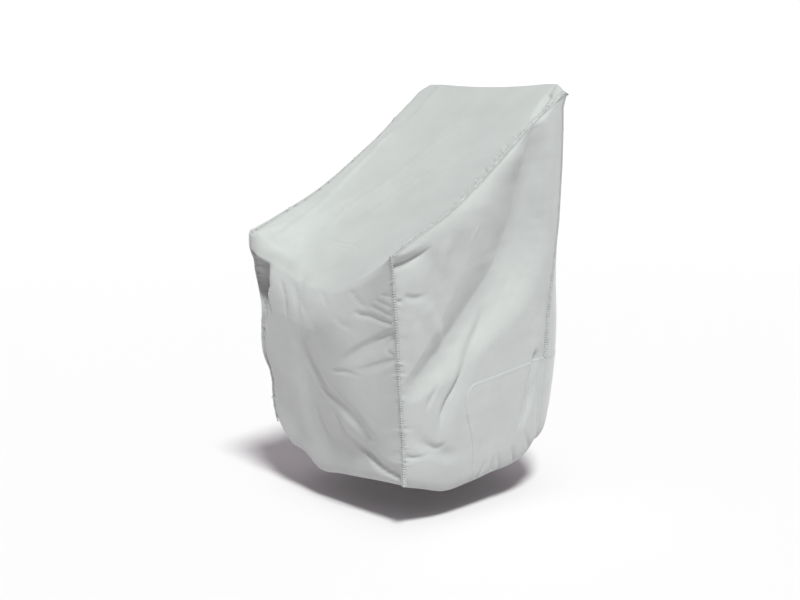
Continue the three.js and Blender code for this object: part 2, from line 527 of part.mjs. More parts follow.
// One panel as a closed sheet: its outer face, the same face set in by the cloth's thickness, and a rim between
function makePanel(name, { normals, reach }, finish) {
  const faces = triangles.filter((triangle) => triangle.panel === name).map((triangle) => triangle.ids);
  const edges = new Map();
  for (const [a, b, c] of faces) {
    for (const [from, to] of [[a, b], [b, c], [c, a]]) {
      if (!edges.delete(`${to},${from}`)) edges.set(`${from},${to}`, [from, to]);
    }
  }
  const rim = [...edges.values()];
  const inset = new Map();
  for (const [from, to] of rim) {
    const along = points[to].clone().sub(points[from]);
    for (const id of [from, to]) {
      const inward = new THREE.Vector3().crossVectors(normals[id], along).normalize();
      inset.set(id, [...(inset.get(id) ?? []), inward]);
    }
  }
  const positions = [];
  const place = new Map();
  for (const id of new Set(faces.flat())) {
    const outer = points[id].clone();
    const sides = inset.get(id);
    if (sides) {
      const sum = sides[0].clone().add(sides[1]);
      outer.addScaledVector(sum, SEAM_GAP / 2 / Math.max(LEAST_MITRE, 1 + sides[0].dot(sides[1])));
    }
    const inner = outer.clone().addScaledVector(normals[id], -CLOTH / reach[id]);
    place.set(id, positions.length / 3);
    positions.push(outer.x, outer.y, outer.z, inner.x, inner.y, inner.z);
  }
  const index = [];
  for (const [a, b, c] of faces) {
    index.push(place.get(a), place.get(b), place.get(c), place.get(a) + 1, place.get(c) + 1, place.get(b) + 1);
  }
  for (const [from, to] of rim) {
    const a = place.get(from);
    const b = place.get(to);
    // Both panels of a seam split their rims along the same diagonal, so that the rims stay parallel
    if (from < to) index.push(b, a, a + 1, b, a + 1, b + 1);
    else index.push(b, a, b + 1, a, a + 1, b + 1);
  }
  const geometry = new THREE.BufferGeometry();
  geometry.setAttribute('position', new THREE.Float32BufferAttribute(positions, 3));
  geometry.setIndex(index);
  const mesh = new THREE.Mesh(geometry, new THREE.MeshStandardMaterial(finish));
  mesh.name = name;
  return mesh;
}

buildSurface();
const shape = findNormals();
const cover = new THREE.Group();
for (const name of ['front_top_and_back', 'side_right', 'side_left', 'rear_apron']) {
  cover.add(makePanel(name, shape, PALE_CLOTH));
}
cover.position.set(0, -CREST_DEPTH, CREST_SAG + CREST_FLAT + CLOTH - CREST_HEIGHT);

export default cover;
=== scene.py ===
# %% [markdown]
# A hollow weather cover, sewn from four panels of pale coated cloth: one long strip over the front, the slope and
# the back, two sides, and a rear apron. The frame gives four plain solids that already hang in the right shape.
# Each is replaced here by a finer sheet of cloth that lies close to the same surface and adds the creases, the
# puckered seams, the stitches and the weave.

# %% Load the frame
import math

import bmesh
import bpy
import numpy as np
from mathutils import Matrix


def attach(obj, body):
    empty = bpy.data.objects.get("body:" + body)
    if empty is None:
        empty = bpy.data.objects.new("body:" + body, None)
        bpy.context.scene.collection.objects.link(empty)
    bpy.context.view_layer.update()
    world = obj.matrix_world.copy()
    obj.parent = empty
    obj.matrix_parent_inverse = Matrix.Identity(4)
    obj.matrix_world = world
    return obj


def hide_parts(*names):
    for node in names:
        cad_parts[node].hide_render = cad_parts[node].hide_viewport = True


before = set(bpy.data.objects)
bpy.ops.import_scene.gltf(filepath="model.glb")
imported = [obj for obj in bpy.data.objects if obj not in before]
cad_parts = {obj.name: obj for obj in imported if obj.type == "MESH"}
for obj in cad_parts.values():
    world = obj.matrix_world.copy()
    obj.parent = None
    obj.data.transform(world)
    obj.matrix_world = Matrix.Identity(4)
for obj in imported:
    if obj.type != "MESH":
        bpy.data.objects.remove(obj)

scene = bpy.context.scene
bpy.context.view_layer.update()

# %% [markdown]
# The camera comes first, because everything else is judged through it. It looks down a little on the right front
# corner, from about four metres away, through a lens somewhat longer than a normal one, so upright seams stay
# nearly upright.

# %% Camera
CAMERA_PLACE = (2.579, -2.690, -0.009)
CAMERA_TURN = math.radians(48)  # round the upright axis
CAMERA_TILT = math.radians(9.7)  # downwards
camera = bpy.data.objects.new("camera", bpy.data.cameras.new("camera"))
camera.data.lens = 55
camera.data.sensor_width = 36
camera.location = CAMERA_PLACE
camera.rotation_euler = (math.pi / 2 - CAMERA_TILT, 0, CAMERA_TURN)
scene.collection.objects.link(camera)
scene.camera = camera
print("camera stands", round(math.dist(CAMERA_PLACE, (0, -0.3, -0.5)), 2), "m from the cover")

# %% [markdown]
# The stage is a wide pale floor that curves up gently all round, like the paper sweep of a studio, so that no
# horizon shows. One distant lamp high on the right lights the slope and the right side and only grazes the front,
# which brings out its creases. A weak even sky and the floor itself fill the shade.

# %% Floor, sky and lamp
FLOOR_HEIGHT = -1.17
FLOOR_FLAT, FLOOR_RADIUS, FLOOR_RIM = 5, 20, 7  # where it starts to rise, where it ends and how high
FLOOR_RINGS, FLOOR_SPOKES = 17, 96


def new_object(name, bm):
    """Turns a bmesh into a smooth object in the scene."""
    for face in bm.faces:
        face.smooth = True
    mesh = bpy.data.meshes.new(name)
    bm.to_mesh(mesh)
    bm.free()
    made = bpy.data.objects.new(name, mesh)
    scene.collection.objects.link(made)
    return made


def plain_material(name, colour, roughness):
    material = bpy.data.materials.new(name)
    material.use_nodes = True
    shader = material.node_tree.nodes["Principled BSDF"]
    shader.inputs["Base Color"].default_value = (*colour, 1)
    shader.inputs["Roughness"].default_value = roughness
    return material


bm = bmesh.new()
reach = [0, *np.linspace(FLOOR_FLAT, FLOOR_RADIUS, FLOOR_RINGS)]
rise = [FLOOR_RIM * (max(0, r - FLOOR_FLAT) / (FLOOR_RADIUS - FLOOR_FLAT)) ** 2 for r in reach]
profile = [bm.verts.new((r, 0, FLOOR_HEIGHT + h)) for r, h in zip(reach, rise)]
edges = [bm.edges.new(pair) for pair in zip(profile, profile[1:])]
bmesh.ops.spin(bm, geom=profile + edges, axis=(0, 0, 1), cent=(0, 0, 0), angle=2 * math.pi, steps=FLOOR_SPOKES,
               use_merge=True)
bmesh.ops.remove_doubles(bm, verts=bm.verts, dist=1e-4)
bmesh.ops.recalc_face_normals(bm, faces=bm.faces)
floor = new_object("floor", bm)
floor.data.materials.append(plain_material("pale_floor", (0.69, 0.655, 0.68), 0.9))

sky = bpy.data.worlds.new("sky")
sky.use_nodes = True
background = sky.node_tree.nodes["Background"].inputs
background["Color"].default_value = (1, 0.955, 1, 1)
background["Strength"].default_value = 0.36
scene.world = sky
scene.view_settings.view_transform = "Standard"  # a plain picture, with white that stays white

LAMP_FROM = np.array((0.445, -0.235, 0.864))  # direction from the cover to the lamp
LAMP_HEIGHT = math.asin(LAMP_FROM[2] / np.linalg.norm(LAMP_FROM))
lamp = bpy.data.objects.new("high_lamp", bpy.data.lights.new("high_lamp", "SUN"))
lamp.data.energy = 4.0
lamp.data.angle = math.radians(12)
lamp.data.color = (0.93, 1, 0.945)
lamp.location = LAMP_FROM * 4
lamp.rotation_euler = (math.pi / 2 - LAMP_HEIGHT, 0, math.atan2(LAMP_FROM[1], LAMP_FROM[0]) + math.pi / 2)
scene.collection.objects.link(lamp)
print("the lamp stands", round(math.degrees(LAMP_HEIGHT)), "degrees high")

# %% [markdown]
# The cloth's shape is worked out in millimetres above the floor, with x across, y from front to back and z up,
# and moved into the frame at the very end. A few tables with named columns hold the outline at each level. They
# follow the ones that the solids were made from, so the fine sheets lie where the solids lie.
#
# LEVELS has, for the strip, the depth (y) of its seam, half its width, the depth of its middle, and how far it
# dips and swells between the seams; then half the width at the sides' middle, the rear corner's depth, and half
# the width and the depth of the back. LEFT_CORNER is how far the slipped left corner has gone down, back and
# outwards, and how far its cloth is lifted. POCKET is the hollow tucked in below that corner's rim.

# %% Tables of the outline
ORIGIN = np.array([0, 606, 1170.0])  # the frame's origin, in those millimetres


def columns(names, rows):
    """A table as one array for each named column."""
    return dict(zip(names.split(), np.array(rows, float).T))


LEVELS = columns("level seam half middle dip swell side rear wide back", [
    (121, 6, 273, -2, 0, 0, 294, 522, 284, 622), (178, 4, 274, -4, 12, 0, 300, 524, 290, 640),
    (238, 0, 277, -9, 24, 0, 302, 528, 293, 655), (347, -15, 284, -25, 44, 0, 303, 536, 295, 674),
    (454, -29, 291, -40, 62, 0, 302, 544, 296, 676), (560, -39, 295, -51, 77, 0, 301, 551, 296, 668),
    (664, -52, 299, -62, 93, 0, 303, 565, 296, 650), (725, -60, 302, -64, 102, 0, 305, 573, 296, 646),
    (743, -63, 303, -58, 106, 0, 306, 575, 296, 646), (755, -63, 303, -49, 108, 0, 307, 577, 296, 645),
    (763, -46, 301, -35, 106, 0, 307.5, 578, 296, 645), (784, -2, 297, 4, 100, 0, 309, 580, 296, 644),
    (811, 62, 294, 62, 85, 0, 311, 583, 296, 643), (838, 127, 291, 127, 66, 0, 312, 585, 296, 642),
    (883, 207, 288, 207, 50, 1, 312, 587, 296, 642), (954, 310, 286, 310, 40, 3, 309, 591, 296, 641),
    (1039, 425, 285, 425, 28, 6, 304, 593, 295, 640), (1083, 487, 285, 487, 20, 10, 300, 594, 294, 639),
    (1117, 540, 285, 536, 14, 18, 295, 596, 292, 638), (1156, 593, 291, 588, 6, 21, 292, 613, 290, 638),
])
LEFT_CORNER = columns("level down back out lift", [
    (121, 0, 0, 12, 0), (160, 0, 0, 22, 0), (215, 0, 0, 25, 0), (265, 0, 0, 18, 0),
    (300, 0, 0, 10, 0), (350, 0, 0, 9, 0), (405, 0, 0, 25, 0), (480, 0, 0, 13, 0),
    (545, 0, 0, 0, 0), (600, 4, 12, 19, 0), (645, 10, 19, 32, -8), (662, 15, 20, 33, -18),
    (692, 22, 22, 33, -31), (710, 28, 22, 32, -42), (725, 31, 15, 26, -50), (736, 25, 2, 12, -52),
    (742, 13, -2, 9, -40), (755, -9, -2, 4, 0), (763, -9, -2, 4, 6), (784, -7, 0, 4, 11),
    (838, -7, 0, 12, 12), (954, 0, 0, 9, 8), (1039, 4, 0, 6, 3), (1110, 2, 0, 16, 10),
    (1156, 0, 0, 14, 0),
])
POCKET = columns("level depth reach", [
    (290, 0, 18), (350, 2, 18), (400, 5, 20), (450, 7, 22), (500, 8, 24),
    (525, 10, 28), (535, 18, 32), (545, 40, 37), (556, 62, 42), (568, 70, 46),
    (582, 76, 50), (600, 80, 57), (625, 84, 67), (645, 86, 77), (662, 88, 81),
    (692, 88, 82), (710, 82, 82), (722, 62, 82), (729, 26, 82), (733, 0, 82),
    (737, -11, 82), (745, -9, 82), (755, 0, 90),
])
VALLEY = columns("step y z depth front rear edge", [  # edge: how steep the front wall is
    (0, 479, 1086, 0, 24, 34, 1.7), (1, 471, 1056, 12, 34, 48, 1.7), (2, 456, 974, 34, 74, 80, 1.8),
    (3, 434, 878, 50, 150, 108, 1.8), (4, 412, 783, 58, 190, 128, 1.8), (5, 370, 699, 56, 170, 142, 1.7),
    (6, 314, 635, 48, 140, 132, 1.6), (7, 246, 577, 40, 104, 112, 1.5), (8, 152, 495, 32, 68, 84, 1.4),
    (9, 50, 421, 16, 36, 50, 1.2), (10, -14, 370, 0, 20, 24, 1),
])
HEM = {face: columns("at height", rows) for face, rows in {  # height of the hem at each place along a face
    "front": [(-273, 190), (-222, 140), (-160, 126), (-86, 88), (0, 97), (110, 109), (200, 118), (273, 122)],
    "right": [(6, 122), (70, 106), (150, 84), (245, 89), (340, 100), (405, 104), (455, 114), (490, 130), (522, 158)],
    "back": [(-284, 165), (-240, 144), (-140, 126), (0, 118), (150, 128), (240, 146), (284, 158)],
    "left": [(6, 190), (40, 152), (90, 118), (180, 95), (290, 98), (400, 108), (470, 132), (522, 165)],
}.items()}
APRON_EDGE = columns("level share", [(121, 0.455), (204, 0.447), (260, 0.425), (310, 0.4), (372, 0.395)])
HEM_ROLL = columns("step level drawn up", [
    (0, 121, 33, 4), (1, 121, 15, 0), (2, 131, 7, 0), (3, 148, 2, 0), (4, 176, 0, 0),
])
print(len(LEVELS["level"]), "levels from", LEVELS["level"][0], "to", LEVELS["level"][-1], "mm")

# %% [markdown]
# A table is read along a smooth curve through its rows, never in straight steps, because cloth under light
# tension has no kinks where nobody folded it. All points of a panel are read at once, which keeps this quick.

# %% Read a table and blend
EDGE_HEIGHT, APRON_HEIGHT, HEM_HEIGHT = 755, 372, 121  # of the front edge, the apron's top and the hem
TOP_LEVEL = 1156  # where the rounded crest starts


def read(table, column, at):
    """A column of a table at the places in at, along a curve through its rows."""
    keys = next(iter(table.values()))
    values = table[column]
    at = np.asarray(at, float)
    i = np.clip(np.searchsorted(keys, at, side="left") - 1, 0, len(keys) - 2)
    ahead = np.minimum(np.arange(len(keys)) + 1, len(keys) - 1)
    behind = np.maximum(np.arange(len(keys)) - 1, 0)
    slopes = (values[ahead] - values[behind]) / (keys[ahead] - keys[behind])
    span = keys[i + 1] - keys[i]
    t = np.clip((at - keys[i]) / span, 0, 1)
    ends = values[i] * (2 * t**3 - 3 * t**2 + 1) + values[i + 1] * (3 * t**2 - 2 * t**3)
    return ends + span * (slopes[i] * (t**3 - 2 * t**2 + t) + slopes[i + 1] * (t**3 - t**2))


def blend(a, b, t):
    return a + (b - a) * t


def smooth(value, low, high):
    """Rises softly from 0 at low to 1 at high."""
    t = np.clip((np.asarray(value, float) - low) / (high - low), 0, 1)
    return t * t * (3 - 2 * t)


def outline(level, drawn):
    """The outline at each level, drawn in by some millimetres where the hem is gathered."""
    row = {name: read(LEVELS, name, level) for name in LEVELS}
    for name in ("half", "side", "rear", "wide", "back"):
        row[name] = row[name] - drawn
    for name in ("seam", "middle"):
        row[name] = row[name] + drawn
    return row


print("half width at the front edge:", float(read(LEVELS, "half", EDGE_HEIGHT)), "mm")

# %% [markdown]
# Folds are placed one by one, because chance doesn't know where a corner or a seam pulls on the cloth. Each is a
# soft
# trough or ridge along a bent line: the points that the line runs through, how far the fold reaches to the left
# and to the right of it, how high it stands (below nought for a trough), how much of it fades in and out, and how
# sharp it is, from 0 for a round bell to 1 for a creased tent. Each point is an x and a z on the front and the
# back, a y and a z on the sides, and an x and a y on the slope.

# %% Folds of each face
FOLDS = {}
FOLDS["right"] = [
    ((560, 1060,  475, 800,  330, 560), 60, 60, 4, 0.2, 0.4, 0),
    ((310, 590,  295, 543,  226, 462,  176, 385,  129, 325,  106, 240), 52, 24, -10, 0.3, 0.2, 0.4),
    ((226, 462,  176, 385,  129, 325,  109, 255), 12, 8, -4, 0.3, 0.3, 0.5),
    ((-60, 724,  4, 737,  84, 768), 26, 62, -9, 0.02, 0.4, 0),
    ((-60, 724,  4, 737,  84, 768), 7, 24, -9, 0.02, 0.35, 0.7),
    ((500, 440,  472, 364,  413, 191), 30, 14, -9, 0.3, 0.2, 0.3),
    ((496, 440,  479, 376,  460, 243), 24, 12, -7, 0.3, 0.2, 0.3),
    ((40, 650,  80, 570,  150, 470), 34, 40, 7, 0.4, 0.4, 0),
    ((0, 300,  90, 215,  200, 175), 30, 30, -6, 0.4, 0.3, 0),
    ((-50, 643,  -36, 635,  -16, 627), 7, 11, -6, 0.1, 0.4, 0.8),
    ((-24, 648,  20, 636,  74, 642), 12, 20, -5, 0.3, 0.5, 0.3),
    ((112, 400,  83, 362,  60, 320), 12, 16, -4.5, 0.4, 0.4, 0.6),
    ((558, 800,  546, 478,  537, 337,  529, 170), 20, 44, -11, 0.5, 0.1, 0),
    ((515, 390,  468, 281,  430, 200), 16, 22, -4, 0.3, 0.3, 0.5),
    ((266, 93,  285, 125,  290, 150), 12, 8, -5, 0.1, 0.4, 0.6),
    ((322, 105,  320, 130,  318, 160), 13, 9, -5, 0.1, 0.4, 0.6),
    ((363, 101,  350, 128,  336, 160), 13, 9, -5, 0.1, 0.4, 0.6),
    ((421, 113,  408, 140,  390, 170), 13, 9, -5, 0.1, 0.4, 0.6),
    ((485, 144,  468, 170,  449, 204), 13, 9, -5, 0.1, 0.4, 0.6),
    ((4, 208,  35, 203,  104, 206), 9, 14, -4.5, 0.1, 0.6, 0.4),
    ((48, 247,  104, 218,  142, 232), 14, 14, -4.5, 0.4, 0.4, 0.3),
    ((252, 813,  231, 787,  214, 752), 10, 10, 3, 0.4, 0.4, 0.4),
    ((150, 800,  120, 740,  130, 660), 30, 30, 5, 0.4, 0.4, 0),
]
FOLDS["front"] = [
    ((-186, 655,  -160, 610,  -146, 560,  -142, 490), 8, 15, -6, 0.35, 0.4, 0.5),
    ((-138, 650,  -110, 610,  -94, 560,  -93, 470), 12, 24, -7, 0.35, 0.4, 0.4),
    ((-260, 610,  -256, 540,  -272, 470), 5, 8, -4, 0.1, 0.4, 0.6),
    ((-240, 610,  -233, 560,  -230, 500), 6, 9, -5, 0.1, 0.5, 0.6),
    ((-115, 664,  -93, 620,  -74, 579,  -43, 545), 12, 18, -4.5, 0.1, 0.4, 0.3),
    ((-19, 629,  20, 610,  65, 586), 10, 12, -2.5, 0.3, 0.4, 0.5),
    ((133, 651,  159, 635,  184, 616,  204, 606), 7, 12, -3, 0.2, 0.3, 0.6),
    ((165, 600,  178, 588,  207, 588,  242, 581,  284, 574), 9, 18, -5, 0.15, 0.05, 0.6),
    ((200, 618,  246, 606,  284, 593), 7, 8, -3.5, 0.3, 0.05, 0.6),
    ((228, 635,  259, 626,  290, 617), 6, 7, -3, 0.3, 0.05, 0.6),
    ((250, 650,  273, 647,  296, 646), 5, 7, -2.5, 0.3, 0.05, 0.6),
    ((288, 556,  222, 523,  156, 486,  86, 432), 46, 15, -6, 0.05, 0.35, 0.3),
    ((288, 552,  250, 537,  205, 512), 8, 6, -3, 0.05, 0.4, 0.7),
    ((288, 480,  247, 468,  188, 444,  128, 430), 26, 10, -3, 0.1, 0.5, 0.4),
    ((50, 414,  90, 421,  121, 424,  190, 412), 8, 16, -3, 0.3, 0.4, 0.5),
    ((-91, 489,  -61, 434,  -16, 388,  21, 352,  95, 318,  147, 268,  172, 218), 30, 34, -8, 0.2, 0.1, 0.1),
    ((-41, 365,  -16, 353,  19, 339,  61, 328), 9, 11, -2.5, 0.3, 0.4, 0.4),
    ((-58, 300,  -46, 260,  -20, 212,  10, 170), 14, 22, -4, 0.3, 0.4, 0),
    ((36, 312,  60, 262,  95, 200), 18, 24, -5, 0.3, 0.4, 0.1),
    ((30, 310,  96, 222,  145, 184,  190, 158,  262, 143), 40, 12, -14, 0.6, 0.05, 0.4),
    ((-110, 420,  -118, 332,  -124, 260,  -130, 150), 44, 80, 7, 0.4, 0.2, 0),
    ((-14, 567,  -7, 521,  11, 500), 8, 12, -2, 0.3, 0.4, 0.5),
    ((-40, 554,  -47, 515,  -86, 460), 12, 16, 2.5, 0.3, 0.4, 0.2),
    ((76, 580,  114, 557,  164, 540), 12, 16, -2, 0.4, 0.4, 0.2),
    ((286, 548,  255, 503,  284, 486), 9, 12, -2.5, 0.1, 0.1, 0.5),
    ((40, 650,  95, 430,  105, 170), 180, 200, 22, 0.25, 0.2, 0),
]
FOLDS["slope"] = [
    ((-262, 10,  -200, 130,  -120, 420), 30, 40, 2, 0.2, 0.4, 0),
    ((262, 575,  266, 530,  284, 470), 16, 14, -8, 0.1, 0.4, 0),
    ((-249, -41,  -231, 0,  -235, 104,  -236, 197,  -240, 325,  -233, 424,  -203, 535), 16, 9, 4, 0.1, 0.2, 0.6),
    ((-162, 64,  -158, 160,  -135, 224,  -96, 301,  -62, 385,  -4, 466,  49, 510), 10, 14, 3.4, 0.2, 0.3, 0.6),
    ((-99, 75,  -92, 141,  -46, 219,  -10, 287,  59, 345,  141, 410), 9, 14, 3.2, 0.3, 0.3, 0.6),
    ((-182, 89,  -179, 129,  -172, 165), 6, 8, 2.4, 0.3, 0.3, 0.6),
    ((-144, 59,  -25, 76,  39, 48), 8, 7, -1.8, 0.2, 0.3, 0.5),
    ((-217, -14,  -204, 28,  -147, 63), 7, 8, 2.4, 0.2, 0.3, 0.6),
    ((86, 156,  118, 218,  149, 270), 9, 10, 2.2, 0.3, 0.4, 0.5),
    ((-244, 330,  -250, 146,  -262, -36), 9, 14, 2.5, 0.2, 0.1, 0.7),
    ((-240, 45,  -262, -7,  -289, -52), 8, 10, 3, 0.2, 0.1, 0.8),
    ((-150, 190,  -164, 118,  -158, 50), 10, 12, 1.8, 0.3, 0.4, 0.6),
    ((-30, 236,  -65, 146,  -82, 70), 12, 14, 1.8, 0.3, 0.4, 0.5),
    ((-112, 53,  -62, 60,  -8, 63), 10, 8, -1.4, 0.4, 0.4, 0.6),
    ((-200, -16,  -208, -40,  -204, -63), 8, 8, 1.6, 0.3, 0.2, 0.6),
    ((-201, 594,  -209, 470,  -268, 340), 60, 12, 4, 0.02, 0.2, 0.6),
    ((256, 598,  270, 533,  288, 480), 7, 8, -5, 0.02, 0.3, 0.8),
    ((-257, -34,  -239, 3,  -243, 56), 9, 10, 2.5, 0.3, 0.3, 0.6),
]
FOLDS["back"] = [
    ((170, 1080,  215, 820,  240, 560), 40, 44, -12, 0.3, 0.3, 0),
    ((60, 960,  40, 700,  90, 380), 46, 50, 10, 0.3, 0.3, 0),
    ((-60, 1000,  -90, 740,  -60, 470), 40, 44, -10, 0.3, 0.3, 0),
    ((-200, 1050,  -210, 800,  -160, 560), 36, 44, -12, 0.3, 0.3, 0),
    ((120, 360,  70, 260,  60, 140), 34, 34, -9, 0.3, 0.1, 0),
    ((-130, 350,  -150, 240,  -190, 150), 30, 34, -9, 0.3, 0.1, 0),
    ((190, 1060,  228, 800,  236, 600), 12, 20, -4, 0.2, 0.4, 0.6),
    ((-214, 1030,  -214, 800,  -172, 580), 12, 20, -4, 0.2, 0.4, 0.6),
    ((20, 720,  70, 560,  180, 470), 20, 26, -4, 0.4, 0.4, 0.4),
    ((-20, 680,  -70, 540,  -190, 440), 20, 26, -4, 0.4, 0.4, 0.4),
]
FOLDS["left"] = [
    ((560, 1090,  400, 820,  40, 440), 56, 46, -19, 0.12, 0.3, 0),
    ((330, 640,  240, 480,  130, 250), 30, 26, -10, 0.25, 0.2, 0),
    ((10, 690,  70, 700,  150, 736), 18, 16, -10, 0.2, 0.4, 0),
    ((480, 600,  470, 380,  440, 190), 26, 22, -8, 0.4, 0.3, 0),
    ((0, 620,  30, 500,  90, 380), 30, 34, -9, 0.3, 0.4, 0),
    ((300, 700,  170, 560,  46, 446), 22, 12, -5, 0.5, 0.1, 0.7),
    ((300, 560,  226, 430,  140, 270), 22, 10, -4, 0.3, 0.2, 0.7),
]
print({face: len(folds) for face, folds in FOLDS.items()}, "folds")

# %% [markdown]
# A fold's height at a point of the cloth depends on how far the point is from the fold's line, on which side of it
# and how far along. The long valley on the right side is the largest one. It has its own table, because its depth
# and width change along the way, and its front wall is far steeper than the rear one.

# %% Height of a fold and depth of the valley
FOLD_STEPS = 5  # straight pieces between two points of a fold
VALLEY_STEPS = 37  # points of the valley's line
VALLEY_ROUND = 12  # how far the bottom of the valley is rounded
SEAM_HOLD = 16  # a seam holds the cloth flat within this distance


def to_line(line, a, b):
    """From points (a, b) to a bent line: the distance, the share of the line, and whether on its left."""
    best = np.full(a.shape, np.inf)
    along = np.zeros(a.shape)
    leftward = np.zeros(a.shape, bool)
    for i, (dx, dy) in enumerate(np.diff(line, axis=0)):
        t = np.clip(((a - line[i, 0]) * dx + (b - line[i, 1]) * dy) / (dx * dx + dy * dy), 0, 1)
        off_x = a - line[i, 0] - t * dx
        off_y = b - line[i, 1] - t * dy
        distance = np.hypot(off_x, off_y)
        closer = distance < best
        best = np.where(closer, distance, best)
        along = np.where(closer, (i + t) / (len(line) - 1), along)
        leftward = np.where(closer, dx * off_y - dy * off_x > 0, leftward)
    return best, along, leftward


def fold_height(fold, a, b):
    """Height of one fold at points (a, b) of its face."""
    points, leftwards, rightwards, out, fade_in, fade_out, sharp = fold
    table = columns("place a b", [(i, *point) for i, point in enumerate(zip(points[::2], points[1::2]))])
    places = np.linspace(0, table["place"][-1], FOLD_STEPS * (len(table["place"]) - 1) + 1)
    line = np.stack([read(table, "a", places), read(table, "b", places)], -1)
    height = np.zeros(a.shape)
    reach = max(leftwards, rightwards)
    low, high = line.min(0) - reach, line.max(0) + reach
    near = (a > low[0]) & (a < high[0]) & (b > low[1]) & (b < high[1])
    distance, along, leftward = to_line(line, a[near], b[near])
    share = np.clip(distance / np.where(leftward, leftwards, rightwards), 0, 1)
    bell = 0.5 + 0.5 * np.cos(math.pi * share)
    tent = (1 - share) ** 2
    faded = smooth(along, 0, fade_in) * (1 - smooth(along, 1 - fade_out, 1))
    height[near] = out * blend(bell, tent, sharp) * faded
    return height


def valley_depth(y, z):
    """Depth of the long valley: a straight wall in front of its line and a soft one behind it."""
    steps = VALLEY["step"]
    places = np.linspace(0, steps[-1], VALLEY_STEPS)
    line = np.stack([read(VALLEY, "y", places), read(VALLEY, "z", places)], -1)
    distance, along, behind = to_line(line, y, z)
    at = along * steps[-1]
    distance = np.hypot(distance, VALLEY_ROUND) - VALLEY_ROUND
    front = np.clip(1 - distance / read(VALLEY, "front", at), 0, 1) ** read(VALLEY, "edge", at)
    rear = 0.5 + 0.5 * np.cos(math.pi * np.clip(distance / read(VALLEY, "rear", at), 0, 1))
    return read(VALLEY, "depth", at) * np.where(behind, rear, front)


def folds_at(face, a, b, to_seam):
    """All folds of a face, fading out towards its seams."""
    a, b, to_seam = np.broadcast_arrays(a, b, to_seam)
    return sum(fold_height(fold, a, b) for fold in FOLDS[face]) * smooth(to_seam, 0, SEAM_HOLD)


valley_middle = np.array([[VALLEY["y"][4]], [VALLEY["z"][4]]])
print("the valley is", round(float(valley_depth(*valley_middle)[0]), 1), "mm deep in the middle")

# %% [markdown]
# Some parts of the cover hang unevenly. The left front corner has slipped down and swings out, so the points near
# it are shifted, less and less with the distance from its seam. Below its rim the cloth is tucked in and leaves a
# hollow pocket. The left half of the front edge is rolled more softly than the right half. The apron climbs a
# little to the rear, and so does its hem.

# %% Slipped corner, pocket, front edge and hem
ACROSS_FADE = {"down": 9, "back": 22, "out": 70, "lift": 60}  # reach of each shift, inwards on the strip
REARWARD_FADE = {"down": 130, "back": 70, "out": 160}  # and to the rear on the left side
POCKET_BOTTOM = 0.52  # place of the pocket's deepest line
APRON_RISE, APRON_RISE_FROM, APRON_RISE_TO, APRON_RISE_FADE = 34, 0.3, 1.05, 240
EDGE_ROLL = columns("level depth", [
    (600, 0), (650, 4), (690, 11), (725, 24), (755, 38), (775, 33), (800, 20), (838, 7), (870, 0),
])
ROLL_ACROSS, ROLL_FROM_SEAM = (0, 0.7), (50, 130)  # where the front edge's roll fades in


def edge_roll(level, u, to_seam):
    """How far the left half of the front edge is rounded off, more softly than the right half."""
    across = smooth(0.5 - u, *ROLL_ACROSS) * smooth(to_seam, *ROLL_FROM_SEAM)
    rolled = (level > EDGE_ROLL["level"][0]) & (level < EDGE_ROLL["level"][-1])
    return np.where(rolled, read(EDGE_ROLL, "depth", level), 0) * across


def left_shift(level, distance, fades):
    """The shifts of the slipped corner, fading with the distance from its seam."""
    return {name: read(LEFT_CORNER, name, level) * np.exp(-distance / fade) * (level >= LEFT_CORNER["level"][0])
            for name, fade in fades.items()}


def pocket_depth(level, to_seam):
    """Depth of the pocket beside the left seam, where the cloth is tucked in below the corner's rim."""
    t = to_seam / read(POCKET, "reach", level)
    wedge = np.minimum(t / POCKET_BOTTOM, (1 - t) / (1 - POCKET_BOTTOM))
    return read(POCKET, "depth", level) * np.clip(wedge, 0, 1) * (level < EDGE_HEIGHT)


def hem_share(level):
    """1 at the hem, 0 from the apron's top upwards."""
    return np.clip((APRON_HEIGHT - level) / (APRON_HEIGHT - HEM_HEIGHT), 0, 1)


def apron_rise(level, share):
    """How far the cloth climbs towards the rear around the apron's top."""
    below = (level - HEM_HEIGHT) / (APRON_HEIGHT - HEM_HEIGHT)
    above = 1 - (level - APRON_HEIGHT) / APRON_RISE_FADE
    return APRON_RISE * smooth(share, APRON_RISE_FROM, APRON_RISE_TO) * np.clip(np.minimum(below, above), 0, 1)


print("the pocket is", float(POCKET["depth"].max()), "mm deep")

# %% [markdown]
# The cover is one closed ring of cloth at each level: front, right side, back, left side. A function for each
# gives a point of it: the level says how high, and u or f how far along that face. Above the front edge the front
# becomes the slope. The crest joins the top of the slope to the top of the back.

# %% Points of the faces
LEFT_RIDGE, LEFT_RIDGE_LEVELS = 0.93, (600, 720)  # the sag starts this far out on the left half
LEFT_SAG, RIGHT_SAG, SAG_CHANGE = 2.2, 2, 80  # how the sag is rounded on each half
LEFT_ROUND, RIGHT_ROUND = 9, 3  # how square the front's two corners are
SWELL_WIDTH, LIFT_SWELL = 22, 19  # how soon the cloth rises beside a seam
SLOPE_SINE = 0.55  # distance to the slanting seam, for each step back
SLOPE_OUT_Y, SLOPE_OUT_Z = -0.6, 0.8  # the way out of the slope
BACK_ROUND_LOW, BACK_ROUND_HIGH, BACK_ROUND_LEVELS = 7, 3, (600, 1140)
CREST_HEIGHT, CREST_SAG, CREST_SAG_HALF, CREST_RISE = 1181, 8, 210, 9
UPWARDS = np.array([0, 0, 1])


